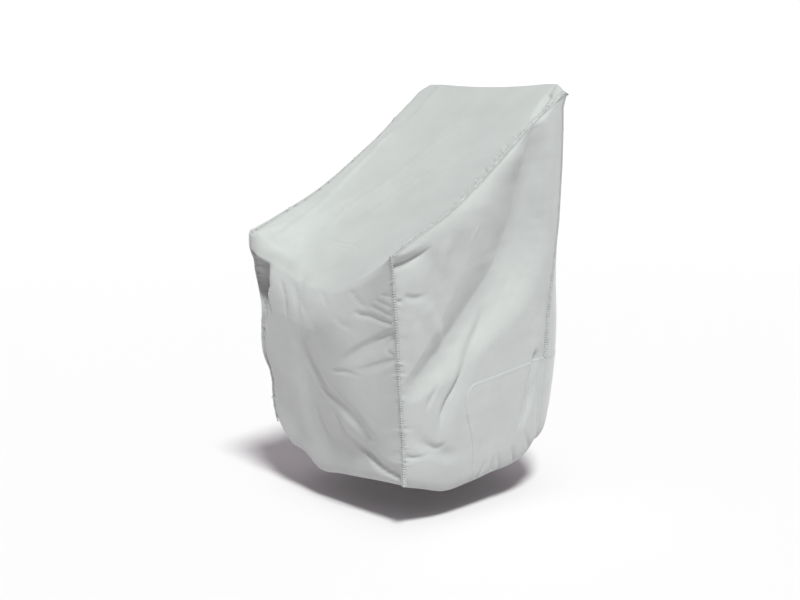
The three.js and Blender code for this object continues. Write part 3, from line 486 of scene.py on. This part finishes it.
def front_point(level, u, drawn=0):
    """Front and slope: u runs from -1 at the left seam to 1 at the right one."""
    level, u, drawn = np.broadcast_arrays(level, u, drawn)
    o = outline(level, drawn)
    x = o["half"] * u
    on_slope = smooth(level, EDGE_HEIGHT, EDGE_HEIGHT + SAG_CHANGE)
    power = np.where(u < 0, blend(LEFT_SAG, RIGHT_SAG, on_slope), RIGHT_SAG)
    ridge = np.where(u < 0, blend(1, LEFT_RIDGE, smooth(level, *LEFT_RIDGE_LEVELS)), 1)
    sag = 1 - np.minimum(1, np.abs(u) / ridge) ** power
    to_seam = o["half"] * (1 - np.abs(u))
    y = blend(o["seam"], o["middle"], 1 - np.abs(u) ** np.where(u < 0, LEFT_ROUND, RIGHT_ROUND))
    z = level - o["dip"] * sag + o["swell"] * (1 - np.exp(-to_seam / SWELL_WIDTH))
    z = z + (read(HEM["front"], "height", x) - HEM_HEIGHT) * hem_share(level)
    above = level > EDGE_HEIGHT
    to_edge = np.minimum(to_seam, y - o["seam"] + level - EDGE_HEIGHT)
    out = np.where(above, folds_at("slope", x, y, to_edge), 0)
    flat = np.where(above, 0, folds_at("front", x, z, to_seam))
    y = y + SLOPE_OUT_Y * out - flat
    z = z + SLOPE_OUT_Z * out
    left = u < 0
    shift = left_shift(level, to_seam, ACROSS_FADE)
    x = x - left * shift["out"]
    y = y + left * (pocket_depth(level, to_seam) + shift["back"]) + edge_roll(level, u, to_seam)
    z = z + left * (shift["lift"] * (1 - np.exp(-to_seam / LIFT_SWELL)) - shift["down"])
    return np.stack([x, y, z], -1)


def side_point(face, level, f, drawn=0):
    """A side: f runs from 0 at the front or slope seam to 1 at the rear corner."""
    level, f, drawn = np.broadcast_arrays(level, f, drawn)
    o = outline(level, drawn)
    y = blend(o["seam"], o["rear"], f)
    flat = blend(o["half"], o["wide"], f)
    x = flat + (o["side"] - flat) * (1 - np.abs(2 * f - 1) ** 4)
    z = level + apron_rise(level, f) + (read(HEM[face], "height", y) - HEM_HEIGHT) * hem_share(level)
    length = o["rear"] - o["seam"]
    to_front = np.where(level > EDGE_HEIGHT, f * length * SLOPE_SINE, f * length)
    to_seam = np.minimum(to_front, (1 - f) * length)
    x = x + folds_at(face, y, z, to_seam)
    if face == "right":
        x = x - valley_depth(y, z) * smooth(to_seam, 0, SEAM_HOLD)
        return np.stack([x, y, z], -1)
    shift = left_shift(level, f * length, REARWARD_FADE)
    return np.stack([-x - shift["out"], y + shift["back"], z - shift["down"] * (1 - f)], -1)


def back_point(level, u, drawn=0):
    """The back: u runs from 1 at the right rear corner to -1 at the left one."""
    level, u, drawn = np.broadcast_arrays(level, u, drawn)
    o = outline(level, drawn)
    x = o["wide"] * u
    square = blend(BACK_ROUND_LOW, BACK_ROUND_HIGH, smooth(level, *BACK_ROUND_LEVELS))
    y = blend(o["rear"], o["back"], 1 - np.abs(u) ** square)
    z = level + apron_rise(level, 1) + (read(HEM["back"], "height", x) - HEM_HEIGHT) * hem_share(level)
    y = y + folds_at("back", x, z, o["wide"] * (1 - np.abs(u)))
    return np.stack([x, y, z], -1)


def crest_point(r, u):
    """The rounded crest: r runs from 0 at the slope to 1 at the back."""
    r, u = np.broadcast_arrays(r, u)
    point = blend(front_point(TOP_LEVEL, u), back_point(TOP_LEVEL, u), r[..., None])
    crest = CREST_HEIGHT - CREST_SAG * np.maximum(0, 1 - (point[..., 0] / CREST_SAG_HALF) ** 2)
    lift = (crest - point[..., 2]) * np.sin(math.pi * r) * np.minimum(1, (1 - np.abs(u)) * CREST_RISE)
    return point + lift[..., None] * UPWARDS


print("right front corner at the hem:", front_point(HEM_HEIGHT, 1.0).round(1))

# %% [markdown]
# Between the main folds, real cloth is never quite flat. A few long waves of different lengths, bent by each
# other, give a faint unrest that doesn't repeat. Along a seam the thread draws the cloth up into small puckers,
# which are highest at the seam and die away within a few centimetres.

# %% Unrest and puckers
def waves(along, lengths, turn=0.0):
    """Uneven waves along a line, between about -1 and 1."""
    total = 0
    for i, length in enumerate(lengths):
        bent = along / length + 0.35 * np.sin(along / (length * 1.9) + 1.3 * i + turn)
        total = total + np.sin(2 * math.pi * bent + 2.1 * i + turn)
    return total / len(lengths) ** 0.5


def unrest(p):
    """Faint waves of the cloth at points p, in millimetres."""
    x, y, z = p[..., 0], p[..., 1], p[..., 2]
    round_about = x + y * 0.9
    slow = waves(round_about * 0.8 + z * 0.35, (173, 97)) * waves(z - x * 0.3, (310, 210), 0.7)
    quick = waves(round_about * 0.5 - z * 0.8, (61, 41), 1.9) * waves(z * 0.6 + round_about, (143, 118), 0.3)
    return 0.8 * slow + 0.3 * quick


def puckers(distance, along, reach, height, turn):
    """Small folds across a seam: many short and a few longer ones, stronger in some places."""
    uneven = 0.6 + 0.5 * waves(along, (71, 121, 197), turn + 1)
    short = waves(along, (10.9, 14.3, 21), turn) * np.exp(-distance / reach)
    long = waves(along + 0.25 * distance, (37, 53), turn + 2) * np.exp(-distance / (2.6 * reach))
    return height * np.maximum(uneven, 0.1) * (short + 0.6 * long)


print("unrest in the middle of the front:", round(float(unrest(np.array([0.0, -50, 400]))), 2), "mm")

# %% [markdown]
# Every panel starts as a flat grid, as its cloth did. Each vertex of the grid is then moved to its place on the
# surface. The grid also gives the cloth its own coordinates in metres, so that the weave follows it through
# every fold. Last, the sheet gets its thickness with Solidify.

# %% Make a panel from a grid
CLOTH_THICKNESS = 0.0011  # in metres, like every length from here on in the mesh


def unit(vectors):
    """The same directions, each one long."""
    return vectors / np.maximum(np.linalg.norm(vectors, axis=-1, keepdims=True), 1e-9)


def facing(points):
    """Directions that face out of a grid of points."""
    return unit(np.cross(np.gradient(points, axis=1), np.gradient(points, axis=0)))


def lengths_along(points, axis):
    """Length of cloth from the first row or column to each point."""
    steps = np.linalg.norm(np.diff(points, axis=axis), axis=-1)
    start = np.zeros_like(np.take(steps, [0], axis=axis))
    return np.cumsum(np.concatenate([start, steps], axis=axis), axis=axis)


def lay_cloth(name, points, flip=False, drop=None, thickness=CLOTH_THICKNESS):
    """A sheet of cloth through a grid of points, rows first; drop marks points that are cut away."""
    rows, cols = points.shape[:2]
    bm = bmesh.new()
    bmesh.ops.create_grid(bm, x_segments=cols - 1, y_segments=rows - 1, size=1)
    cloth = new_object(name, bm)
    mesh = cloth.data
    flat = np.empty(len(mesh.vertices) * 3)
    mesh.vertices.foreach_get("co", flat)
    flat = flat.reshape(-1, 3)
    col = np.rint((flat[:, 0] + 1) / 2 * (cols - 1)).astype(int)
    row = np.rint((flat[:, 1] + 1) / 2 * (rows - 1)).astype(int)
    mesh.vertices.foreach_set("co", ((points[row, col] - ORIGIN) / 1000).ravel())
    across = lengths_along(points, 1)
    up = lengths_along(points, 0)
    across = across - across[:, [cols // 2]]
    corner = np.empty(len(mesh.loops), int)
    mesh.loops.foreach_get("vertex_index", corner)
    uv = np.stack([across[row, col], np.broadcast_to(up[:, [cols // 2]], (rows, cols))[row, col]], -1) / 1000
    mesh.uv_layers.new(name="cloth").data.foreach_set("uv", uv[corner].ravel())
    bm = bmesh.new()
    bm.from_mesh(mesh)
    if drop is not None:
        cut = drop[row, col]
        bm.faces.ensure_lookup_table()
        gone = [face for face in bm.faces if all(cut[v.index] for v in face.verts)]
        bmesh.ops.delete(bm, geom=gone, context="FACES")
    if flip:
        bmesh.ops.reverse_faces(bm, faces=bm.faces)
    bm.to_mesh(mesh)
    bm.free()
    wall = cloth.modifiers.new("thickness", "SOLIDIFY")
    wall.thickness = thickness
    wall.offset = -1
    print(name, "has", len(mesh.polygons), "faces and", round(sum(p.area for p in mesh.polygons), 3), "m2")
    return cloth


# %% [markdown]
# The long strip runs from the hem at the front, up over the front edge and the slope, over the crest and down the
# back, where it is sewn to the apron. It is cut in one piece, so it is modelled in one piece. Its rows lie closer
# together where it bends more. Beside the right seam of the slope the seam has gathered it into slanting tucks.

# %% Rows and columns of a panel
ROLL_TOP, ROLL_ROWS = 176, 12  # level where the roll of the hem ends, and its rows
LAP = 12  # the strip and the sides reach this far under the apron
UNREST_FADE = 30  # the unrest dies away this near to a seam


def spread(count, crowding):
    """Places from -1 to 1, closer together at both ends."""
    even = np.linspace(-1, 1, count + 1)
    return blend(even, np.sin(even * math.pi / 2), crowding)


roll_step = np.linspace(0, HEM_ROLL["step"][-1], ROLL_ROWS, endpoint=False)
roll_level, roll_drawn, roll_up = (read(HEM_ROLL, name, roll_step) for name in ("level", "drawn", "up"))
print("the hem rolls under from", roll_level.min(), "mm and is drawn in by", roll_drawn.max(), "mm")

# %% Front, top and back strip
STRIP_COLUMNS = 78
FRONT_ROWS = ((ROLL_TOP, 736, 3.2), (737, 776, 1.8), (777, 1155, 1.3))  # levels from, to and step
CREST_ROWS, BACK_STEP = 9, 11.0
FIRST_SLOPE_ROWS = (185, 215)  # rows above the hem's roll where the front becomes the slope
SLOPE_CALM = 0.75  # how much smoother the slope is than the front
STRIP_PUCKERS = (9, 2.6, 0)  # reach, height and turn of the waves
LEFT_START = 700  # keeps the left seam's puckers apart from the right one's
TUCK_HEIGHT, TUCK_CENTRE, TUCK_REACH, TUCK_SLANT, TUCK_WAVES = 3.0, 13, 12, 0.8, (17, 29, 47)
TUCKS_FADE_IN, TUCKS_FADE_OUT = (130, 190), (400, 470)

u = spread(STRIP_COLUMNS, crowding=0.6)[None, :]
roll = front_point(roll_level[:, None], u, roll_drawn[:, None]) + roll_up[:, None, None] * UPWARDS
front = front_point(np.concatenate([np.arange(*rows) for rows in FRONT_ROWS])[:, None], u)
crest = crest_point(np.linspace(0, 1, CREST_ROWS)[:, None], u)
back = back_point(np.arange(TOP_LEVEL - BACK_STEP, APRON_HEIGHT - LAP, -BACK_STEP)[:, None], u)
strip = np.concatenate([roll, front, crest, back])

along = lengths_along(strip, 0)
to_left = lengths_along(strip, 1)
to_right = to_left[:, -1:] - to_left
to_seam = np.minimum(to_left, to_right)
seam_place = np.where(to_left < to_right, along[:, :1] + LEFT_START, along[:, -1:])
on_slope = smooth(np.arange(len(strip)) - len(roll), *FIRST_SLOPE_ROWS)[:, None]
relief = unrest(strip) * smooth(to_seam, 0, UNREST_FADE) * (1 - SLOPE_CALM * on_slope)
relief += puckers(to_seam, seam_place, *STRIP_PUCKERS)
y = strip[..., 1]
tucked = smooth(y, *TUCKS_FADE_IN) * (1 - smooth(y, *TUCKS_FADE_OUT)) * (to_right < to_left)
tucks = waves(seam_place - TUCK_SLANT * to_seam, TUCK_WAVES, 0.6)
tucks = tucks * np.exp(-((to_seam - TUCK_CENTRE) / TUCK_REACH) ** 2)
relief += TUCK_HEIGHT * tucked * on_slope * tucks
strip = strip + facing(strip) * relief[..., None]
front_top_and_back = lay_cloth("front_top_and_back_cloth", strip)

# %% [markdown]
# A side panel is a tall shape with a slanting top: low at the front and high at the rear. Its grid has upright
# columns that end on the slanting seam, and level rows at the bottom, so that faces stay nearly square. Where the
# apron covers it, the panel is cut away.

# %% Side panels
SIDE_COLUMNS, SIDE_ROWS = 130, 190
SEAM_SAMPLES = 400  # levels at which the slanting seam is measured
FRONT_DEPTH = -63  # depth of the front seam at the front edge
SIDE_DEPTH = 530  # a side's depth at the apron, where its share runs from 0 to 1
APRON_RADIUS = 44  # of the apron's round corner
SIDE_PUCKERS = {"front": (8, 3.2, 0.4), "rear": (7, 0.7, 2.0), "top": (6, 0.7, 1.1)}  # reach, height, turn
FRONT_FADE = 40  # the front puckers die away this near to the top seam
TOP_SLANT = 1.3  # length along the sloped top seam for each step to the rear


def side_grid(face):
    """Points of a side panel, with the level and share of each."""
    seam_levels = np.linspace(EDGE_HEIGHT, TOP_LEVEL, SEAM_SAMPLES)
    seam, rear = read(LEVELS, "seam", seam_levels), read(LEVELS, "rear", seam_levels)
    reached = (seam - FRONT_DEPTH) / (rear - FRONT_DEPTH)
    c = (spread(SIDE_COLUMNS, crowding=0.25) + 1) / 2
    top = np.interp(c, reached, seam_levels)
    rise = np.linspace(0, 1, SIDE_ROWS)[:, None]
    level = np.concatenate([np.broadcast_to(roll_level[:, None], (len(roll_level), len(c))),
                            blend(ROLL_TOP, top[None, :], rise)])
    drawn = np.concatenate([roll_drawn, np.zeros(SIDE_ROWS)])[:, None]
    up = np.concatenate([roll_up, np.zeros(SIDE_ROWS)])[:, None]
    seam, rear = read(LEVELS, "seam", level), read(LEVELS, "rear", level)
    slanted = (blend(FRONT_DEPTH, rear, c[None, :]) - seam) / np.maximum(rear - seam, 1)
    share = np.clip(np.where(level > EDGE_HEIGHT, slanted, c[None, :]), 0, 1)
    points = side_point(face, level, share, drawn)
    points[..., 2] += up
    return points, level, share


def inside_apron(level, share):
    """How far inside the apron's stitched edge a point of a side lies, in millimetres."""
    a = (share - read(APRON_EDGE, "share", np.minimum(level, APRON_HEIGHT))) * SIDE_DEPTH
    b = APRON_HEIGHT - level
    corner = APRON_RADIUS - np.hypot(APRON_RADIUS - a, APRON_RADIUS - b)
    return np.where((a < APRON_RADIUS) & (b < APRON_RADIUS), corner, np.minimum(a, b))


def make_side(face, name):
    """One side panel as a sheet of cloth, with the apron's corner cut out."""
    points, level, share = side_grid(face)
    along_front = lengths_along(points, 0)
    from_front = lengths_along(points, 1)
    to_rear = from_front[:, -1:] - from_front
    to_top = along_front[-1:] - along_front
    relief = unrest(points) * smooth(np.minimum(np.minimum(from_front, to_rear), to_top), 0, UNREST_FADE)
    relief += puckers(from_front, along_front, *SIDE_PUCKERS["front"]) * smooth(to_top, 0, FRONT_FADE)
    relief += puckers(to_rear, along_front, *SIDE_PUCKERS["rear"])
    relief += puckers(to_top, from_front * TOP_SLANT, *SIDE_PUCKERS["top"]) * (from_front > 0)
    flipped = face == "left"
    outwards = facing(points) * (-1 if flipped else 1)
    points = points + outwards * relief[..., None]
    return lay_cloth(name, points, flip=flipped, drop=inside_apron(level, share) > LAP)


side_right = make_side("right", "side_right_cloth")
side_left = make_side("left", "side_left_cloth")

# %% [markdown]
# The apron closes the lower back and wraps round both rear corners. Its edge is turned in and stitched down on
# the panels above it, so it lies on top of them by the thickness of the fold. The upper front corners are round:
# the corner of the square grid is pressed into a quarter circle.

# %% Rear apron
APRON_LIFT = 0.5  # the apron lies this far outside the panels beneath it
APRON_ROWS, APRON_SIDE_COLUMNS, APRON_BACK_COLUMNS = 46, 66, 112
TOP_PUCKERS, END_PUCKERS = (10, 0.5, 0.2), (12, 0.6, 1.2)  # reach, height and turn


def round_corner(a, b, radius):
    """Presses the square corner between two edges, at distances a and b, into a quarter circle."""
    p, q = radius - a, radius - b
    inside = (p > 0) & (q > 0)
    shrink = np.where(inside, np.maximum(p, q) / np.maximum(np.hypot(p, q), 1e-9), 1)
    return radius - p * shrink, radius - q * shrink


def apron_side(face, level, drawn, t):
    """Points of the apron on one side: t runs from 0 at its stitched edge to 1 at the rear corner."""
    edge = read(APRON_EDGE, "share", np.minimum(level, APRON_HEIGHT))
    a = t * (1 - edge) * SIDE_DEPTH
    a, b = round_corner(a, APRON_HEIGHT - level, APRON_RADIUS)
    return side_point(face, APRON_HEIGHT - b, edge + a / SIDE_DEPTH, drawn)


level = np.concatenate([roll_level, np.linspace(ROLL_TOP, APRON_HEIGHT, APRON_ROWS)])[:, None]
drawn = np.concatenate([roll_drawn, np.zeros(APRON_ROWS)])[:, None]
lift = np.concatenate([roll_up, np.zeros(APRON_ROWS)])[:, None, None] * UPWARDS
t = np.linspace(0, 1, APRON_SIDE_COLUMNS, endpoint=False)[None, :]
back_u = -spread(APRON_BACK_COLUMNS, crowding=0.2)[None, :]
apron = np.concatenate([
    apron_side("right", level, drawn, t), back_point(level, back_u, drawn),
    apron_side("left", level, drawn, t)[:, ::-1],
], axis=1) + lift
from_edge = lengths_along(apron, 1)
to_top = lengths_along(apron, 0)[-1:] - lengths_along(apron, 0)
to_end = np.minimum(from_edge, from_edge[:, -1:] - from_edge)
relief = unrest(apron) + APRON_LIFT + puckers(to_top, from_edge, *TOP_PUCKERS)
relief += puckers(to_end, to_top, *END_PUCKERS)
apron = apron + facing(apron) * relief[..., None]
rear_apron = lay_cloth("rear_apron_cloth", apron)

# %% [markdown]
# Where the strip meets a side, the maker folds both edges together and stitches the fold down twice. From
# outside that is a narrow raised band along the seam, with a row of stitches near each edge and a small tuck
# across it between every two of them. To lay it over the corner, it needs the seam's line and the way from the
# seam into each of the two panels, both at even steps.

# %% The line of a seam
NEAR = 0.03  # a point this share of a panel away from its seam shows the way into the panel
SEAM_ROWS = ((124, 740, 2.0), (740, 775, 1.0), (775, TOP_LEVEL, 1.2))  # levels from, to and step
CREST_STEPS, REAR_STEP = 8, 2.0  # points over the crest, and step down the rear
CREST_DROP = 20.0  # a point this far below the crest shows the way into the side


def seam_line(face):
    """Points along a seam, from the front hem over the crest to the apron, and beside it in both panels."""
    sign = 1.0 if face == "right" else -1.0
    up = np.concatenate([np.arange(*rows) for rows in SEAM_ROWS])
    over = np.linspace(0, 1, CREST_STEPS)
    down = np.arange(TOP_LEVEL - REAR_STEP, APRON_HEIGHT - 2 * REAR_STEP, -REAR_STEP)
    crest = side_point(face, TOP_LEVEL, over)
    seam = [front_point(up, sign), crest, back_point(down, sign)]
    beside = sign * (1 - NEAR)
    strip_side = [front_point(up, beside), crest_point(over, beside), back_point(down, beside)]
    panel_side = [side_point(face, up, NEAR), crest - CREST_DROP * UPWARDS, side_point(face, down, 1 - NEAR)]
    return np.concatenate(seam), np.concatenate(strip_side), np.concatenate(panel_side)


def points_at(at, length, points):
    """Points of a line at some places along it."""
    return np.stack([np.interp(at, length, points[:, k]) for k in range(3)], -1)


def soften(values, times):
    for _ in range(times):
        values = (np.roll(values, 1, 0) + 2 * values + np.roll(values, -1, 0)) / 4
    return values


print("the right seam is", round(float(lengths_along(seam_line("right")[0], 0)[-1]) / 1000, 2), "m long")

# %% Felled seams
BAND_HALF, BAND_STEP, BAND_ACROSS = 7.5, 0.9, 16  # half width, and the size and number of the grid's steps
BAND_BASE, BAND_HEIGHT, BAND_THICKNESS = 0.2, 1.1, 0.0008
ROW_AT, ROW_WIDTH, ROW_DEPTH = 0.62, 0.15, 1.2  # the two rows of stitches, as a share of the half width
STITCH_PITCH, TICK_WIDTH, TICK_DEPTH = 6.9, 1.5, 1.9  # a small tuck, or tick, comes between every two stitches


def make_band(face):
    """The raised band along a seam, the two lines on which it is stitched, and its middle."""
    lines = seam_line(face)
    length = lengths_along(lines[0], 0)
    at = np.arange(0, length[-1], BAND_STEP)
    seam, strip_at, side_at = (points_at(at, length, line) for line in lines)
    run = unit(np.gradient(seam, axis=0))
    into = []
    for other in (strip_at, side_at):
        way = other - seam
        way = unit(way - (way * run).sum(-1, keepdims=True) * run)
        into.append(unit(soften(way, 6)))
    outward = unit(-(into[0] + into[1]))
    to_tick = (at + STITCH_PITCH / 2) % STITCH_PITCH - STITCH_PITCH / 2
    tick = TICK_DEPTH * np.exp(-(to_tick / TICK_WIDTH) ** 2) * (0.8 + 0.35 * waves(at, (29, 83)))
    rows = []
    for c in np.linspace(-1, 1, BAND_ACROSS + 1):
        way = into[0] if c < 0 else into[1]
        groove = ROW_DEPTH * math.exp(-((abs(c) - ROW_AT) / ROW_WIDTH) ** 2)
        height = BAND_BASE + BAND_HEIGHT * (1 - abs(c) ** 4) - groove - tick * (1 - abs(c) ** 6)
        normal = unit(outward - (outward * way).sum(-1, keepdims=True) * way)
        normal = unit(blend(outward, normal, min(1, abs(c) * 1.5)))
        rows.append(seam + way * abs(c) * BAND_HALF + normal * height[:, None])
    band = lay_cloth(f"seam_{face}", np.stack(rows), flip=face == "left", thickness=BAND_THICKNESS)
    stitched = [(seam + way * ROW_AT * BAND_HALF + outward * 2 * BAND_BASE, outward) for way in into]
    return band, stitched, (seam, outward)


band_right, right_rows, right_middle = make_band("right")
band_left, left_rows, left_middle = make_band("left")

# %% [markdown]
# Each stitch is a short thread that dips into the cloth at both ends. A tiny stretched ball with few faces is
# enough at this size, repeated along the two lines of each seam and joined into one piece for each seam. At each
# tuck of the band a thread crosses it too, like the rungs of a ladder. On the right seam these threads are dark
# grey, painted shade standing in for the shadow in the tucks. The apron has two plain rows.

# %% Stitches
STITCH_LENGTH, STITCH_THICK, STITCH_LIFT = 5.0, 1.4, 0.25
RUNG_LENGTH, RUNG_LIFT = 8.0, -0.1  # the thread that crosses the band at each tuck
AHEAD = 1.5  # the point this far along the line shows where it runs
FIRST_STITCH_ROW = 14  # of the apron, above the roll of its hem


def stitch_places(line, outwards, rungs=False):
    """A matrix, so place, run and size, for each stitch along a line or for each rung across it."""
    length = lengths_along(line, 0)
    start = STITCH_PITCH if rungs else STITCH_PITCH / 2
    centres = np.arange(start, length[-1] - STITCH_PITCH / 2, STITCH_PITCH)
    here = points_at(centres, length, line)
    run = unit(points_at(centres + AHEAD, length, line) - here)
    out = unit(points_at(centres, length, outwards))
    if rungs:
        run = np.cross(run, out)
    thread_length, lift = (RUNG_LENGTH, RUNG_LIFT) if rungs else (STITCH_LENGTH, STITCH_LIFT)
    places = np.zeros((len(centres), 4, 4))
    places[:, :3, 0] = run * thread_length / 2000
    places[:, :3, 1] = np.cross(run, out) * STITCH_THICK / 2000
    places[:, :3, 2] = out * STITCH_THICK / 2000
    places[:, :3, 3] = (here + out * lift - ORIGIN) / 1000
    places[:, 3, 3] = 1
    return places


bm = bmesh.new()
bmesh.ops.create_uvsphere(bm, u_segments=6, v_segments=4, radius=1)
one_stitch = bpy.data.meshes.new("one_stitch")
bm.to_mesh(one_stitch)
bm.free()


def stitch_piece(name, lines, middle=None):
    """All stitches of a seam as one piece: copies of the one stitch, each moved to its place."""
    bm = bmesh.new()
    places = [stitch_places(*line) for line in lines]
    if middle is not None:
        places.append(stitch_places(*middle, rungs=True))
    places = np.concatenate(places)
    for place in places:
        copy = one_stitch.copy()
        copy.transform(Matrix(place.tolist()))
        bm.from_mesh(copy)
        bpy.data.meshes.remove(copy)
    bmesh.ops.recalc_face_normals(bm, faces=bm.faces)
    print(name, "has", len(places), "stitches")
    return new_object(name, bm)


stitches_right = stitch_piece("seam_right_stitches", right_rows, right_middle)
stitches_left = stitch_piece("seam_left_stitches", left_rows, left_middle)

apron_out = facing(apron)
edge_lines = []
for inset in (1, 2):  # columns or rows in from the edge
    top_row, last_column = len(apron) - 1 - inset, apron.shape[1] - 1 - inset
    path = [(r, inset) for r in range(FIRST_STITCH_ROW, top_row)]
    path += [(top_row, c) for c in range(inset, last_column + 1)]
    path += [(r, last_column) for r in range(top_row - 1, FIRST_STITCH_ROW - 1, -1)]
    r, c = np.array(path).T
    edge_lines.append((apron[r, c], apron_out[r, c]))
apron_stitches = stitch_piece("rear_apron_stitches", edge_lines)

# %% [markdown]
# The cloth is a close plain weave of polyester with a coating, pale grey with a hint of green. It is matt, with a
# slight sheen where light grazes it. Two crossed waves on the cloth's own coordinates make the yarns, and noise
# makes the small unevenness that keeps a large pale surface from looking like plastic. The right seam's thread is
# a darker grey than the rest: painted shade, standing in for the shadow in that seam's tucks.

# %% Cloth and thread
def add_node(tree, kind, **settings):
    """A shader node with some of its inputs or settings changed."""
    node = tree.nodes.new(kind)
    for name, value in settings.items():
        if name in node.inputs:
            node.inputs[name].default_value = value
        else:
            setattr(node, name, value)
    return node


def cloth_material():
    material = bpy.data.materials.new("pale_coated_cloth")
    material.use_nodes = True
    tree = material.node_tree
    link = tree.links.new
    shader = tree.nodes["Principled BSDF"]
    for name, value in (("Roughness", 0.58), ("Sheen Weight", 0.25), ("Sheen Roughness", 0.5),
                        ("Specular IOR Level", 0.35)):
        shader.inputs[name].default_value = value
    place = add_node(tree, "ShaderNodeTexCoord")
    uneven = add_node(tree, "ShaderNodeTexNoise", Scale=9.0, Detail=5.0, Roughness=0.6)
    link(place.outputs["Object"], uneven.inputs["Vector"])
    shade = add_node(tree, "ShaderNodeValToRGB")
    for element, position, colour in zip(shade.color_ramp.elements, (0.3, 0.7),
                                         ((0.378, 0.383, 0.383, 1), (0.416, 0.421, 0.421, 1))):
        element.position = position
        element.color = colour
    link(uneven.outputs["Fac"], shade.inputs["Fac"])
    link(shade.outputs["Color"], shader.inputs["Base Color"])
    weave = add_node(tree, "ShaderNodeMath", operation="ADD")
    for i, direction in enumerate("XY"):
        yarn = add_node(tree, "ShaderNodeTexWave", wave_type="BANDS", bands_direction=direction, Scale=320.0,
                        Distortion=0.6, Detail=1.0)
        link(place.outputs["UV"], yarn.inputs["Vector"])
        link(yarn.outputs["Fac"], weave.inputs[i])
    yarns = add_node(tree, "ShaderNodeBump", Strength=0.12, Distance=0.0003)
    link(weave.outputs[0], yarns.inputs["Height"])
    fine = add_node(tree, "ShaderNodeTexNoise", Scale=26.0, Detail=6.0, Roughness=0.55)
    link(place.outputs["Object"], fine.inputs["Vector"])
    crumple = add_node(tree, "ShaderNodeBump", Strength=0.22, Distance=0.004)
    link(fine.outputs["Fac"], crumple.inputs["Height"])
    link(yarns.outputs["Normal"], crumple.inputs["Normal"])
    link(crumple.outputs["Normal"], shader.inputs["Normal"])
    return material


cloth = cloth_material()
# The dark grey of this thread is painted shade, standing in for the shadow in the right seam's tucks.
thread = plain_material("grey_thread_dark_as_painted_shade", (0.18, 0.184, 0.186), 0.6)
pale_thread = plain_material("pale_thread", (0.5, 0.515, 0.51), 0.6)
cloth_pieces = [front_top_and_back, side_right, side_left, rear_apron, band_right, band_left]
thread_pieces = [stitches_right, stitches_left, apron_stitches]
for piece in cloth_pieces:
    piece.data.materials.append(cloth)
# The right seam's stitches and rungs take the dark thread, which is painted shade; the others take the pale thread.
for piece in thread_pieces:
    piece.data.materials.append(thread if piece == stitches_right else pale_thread)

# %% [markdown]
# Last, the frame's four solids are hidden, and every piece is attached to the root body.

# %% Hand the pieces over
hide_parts("front_top_and_back")
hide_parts("side_right")
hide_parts("side_left")
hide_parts("rear_apron")
for piece in cloth_pieces + thread_pieces:
    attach(piece, "root")
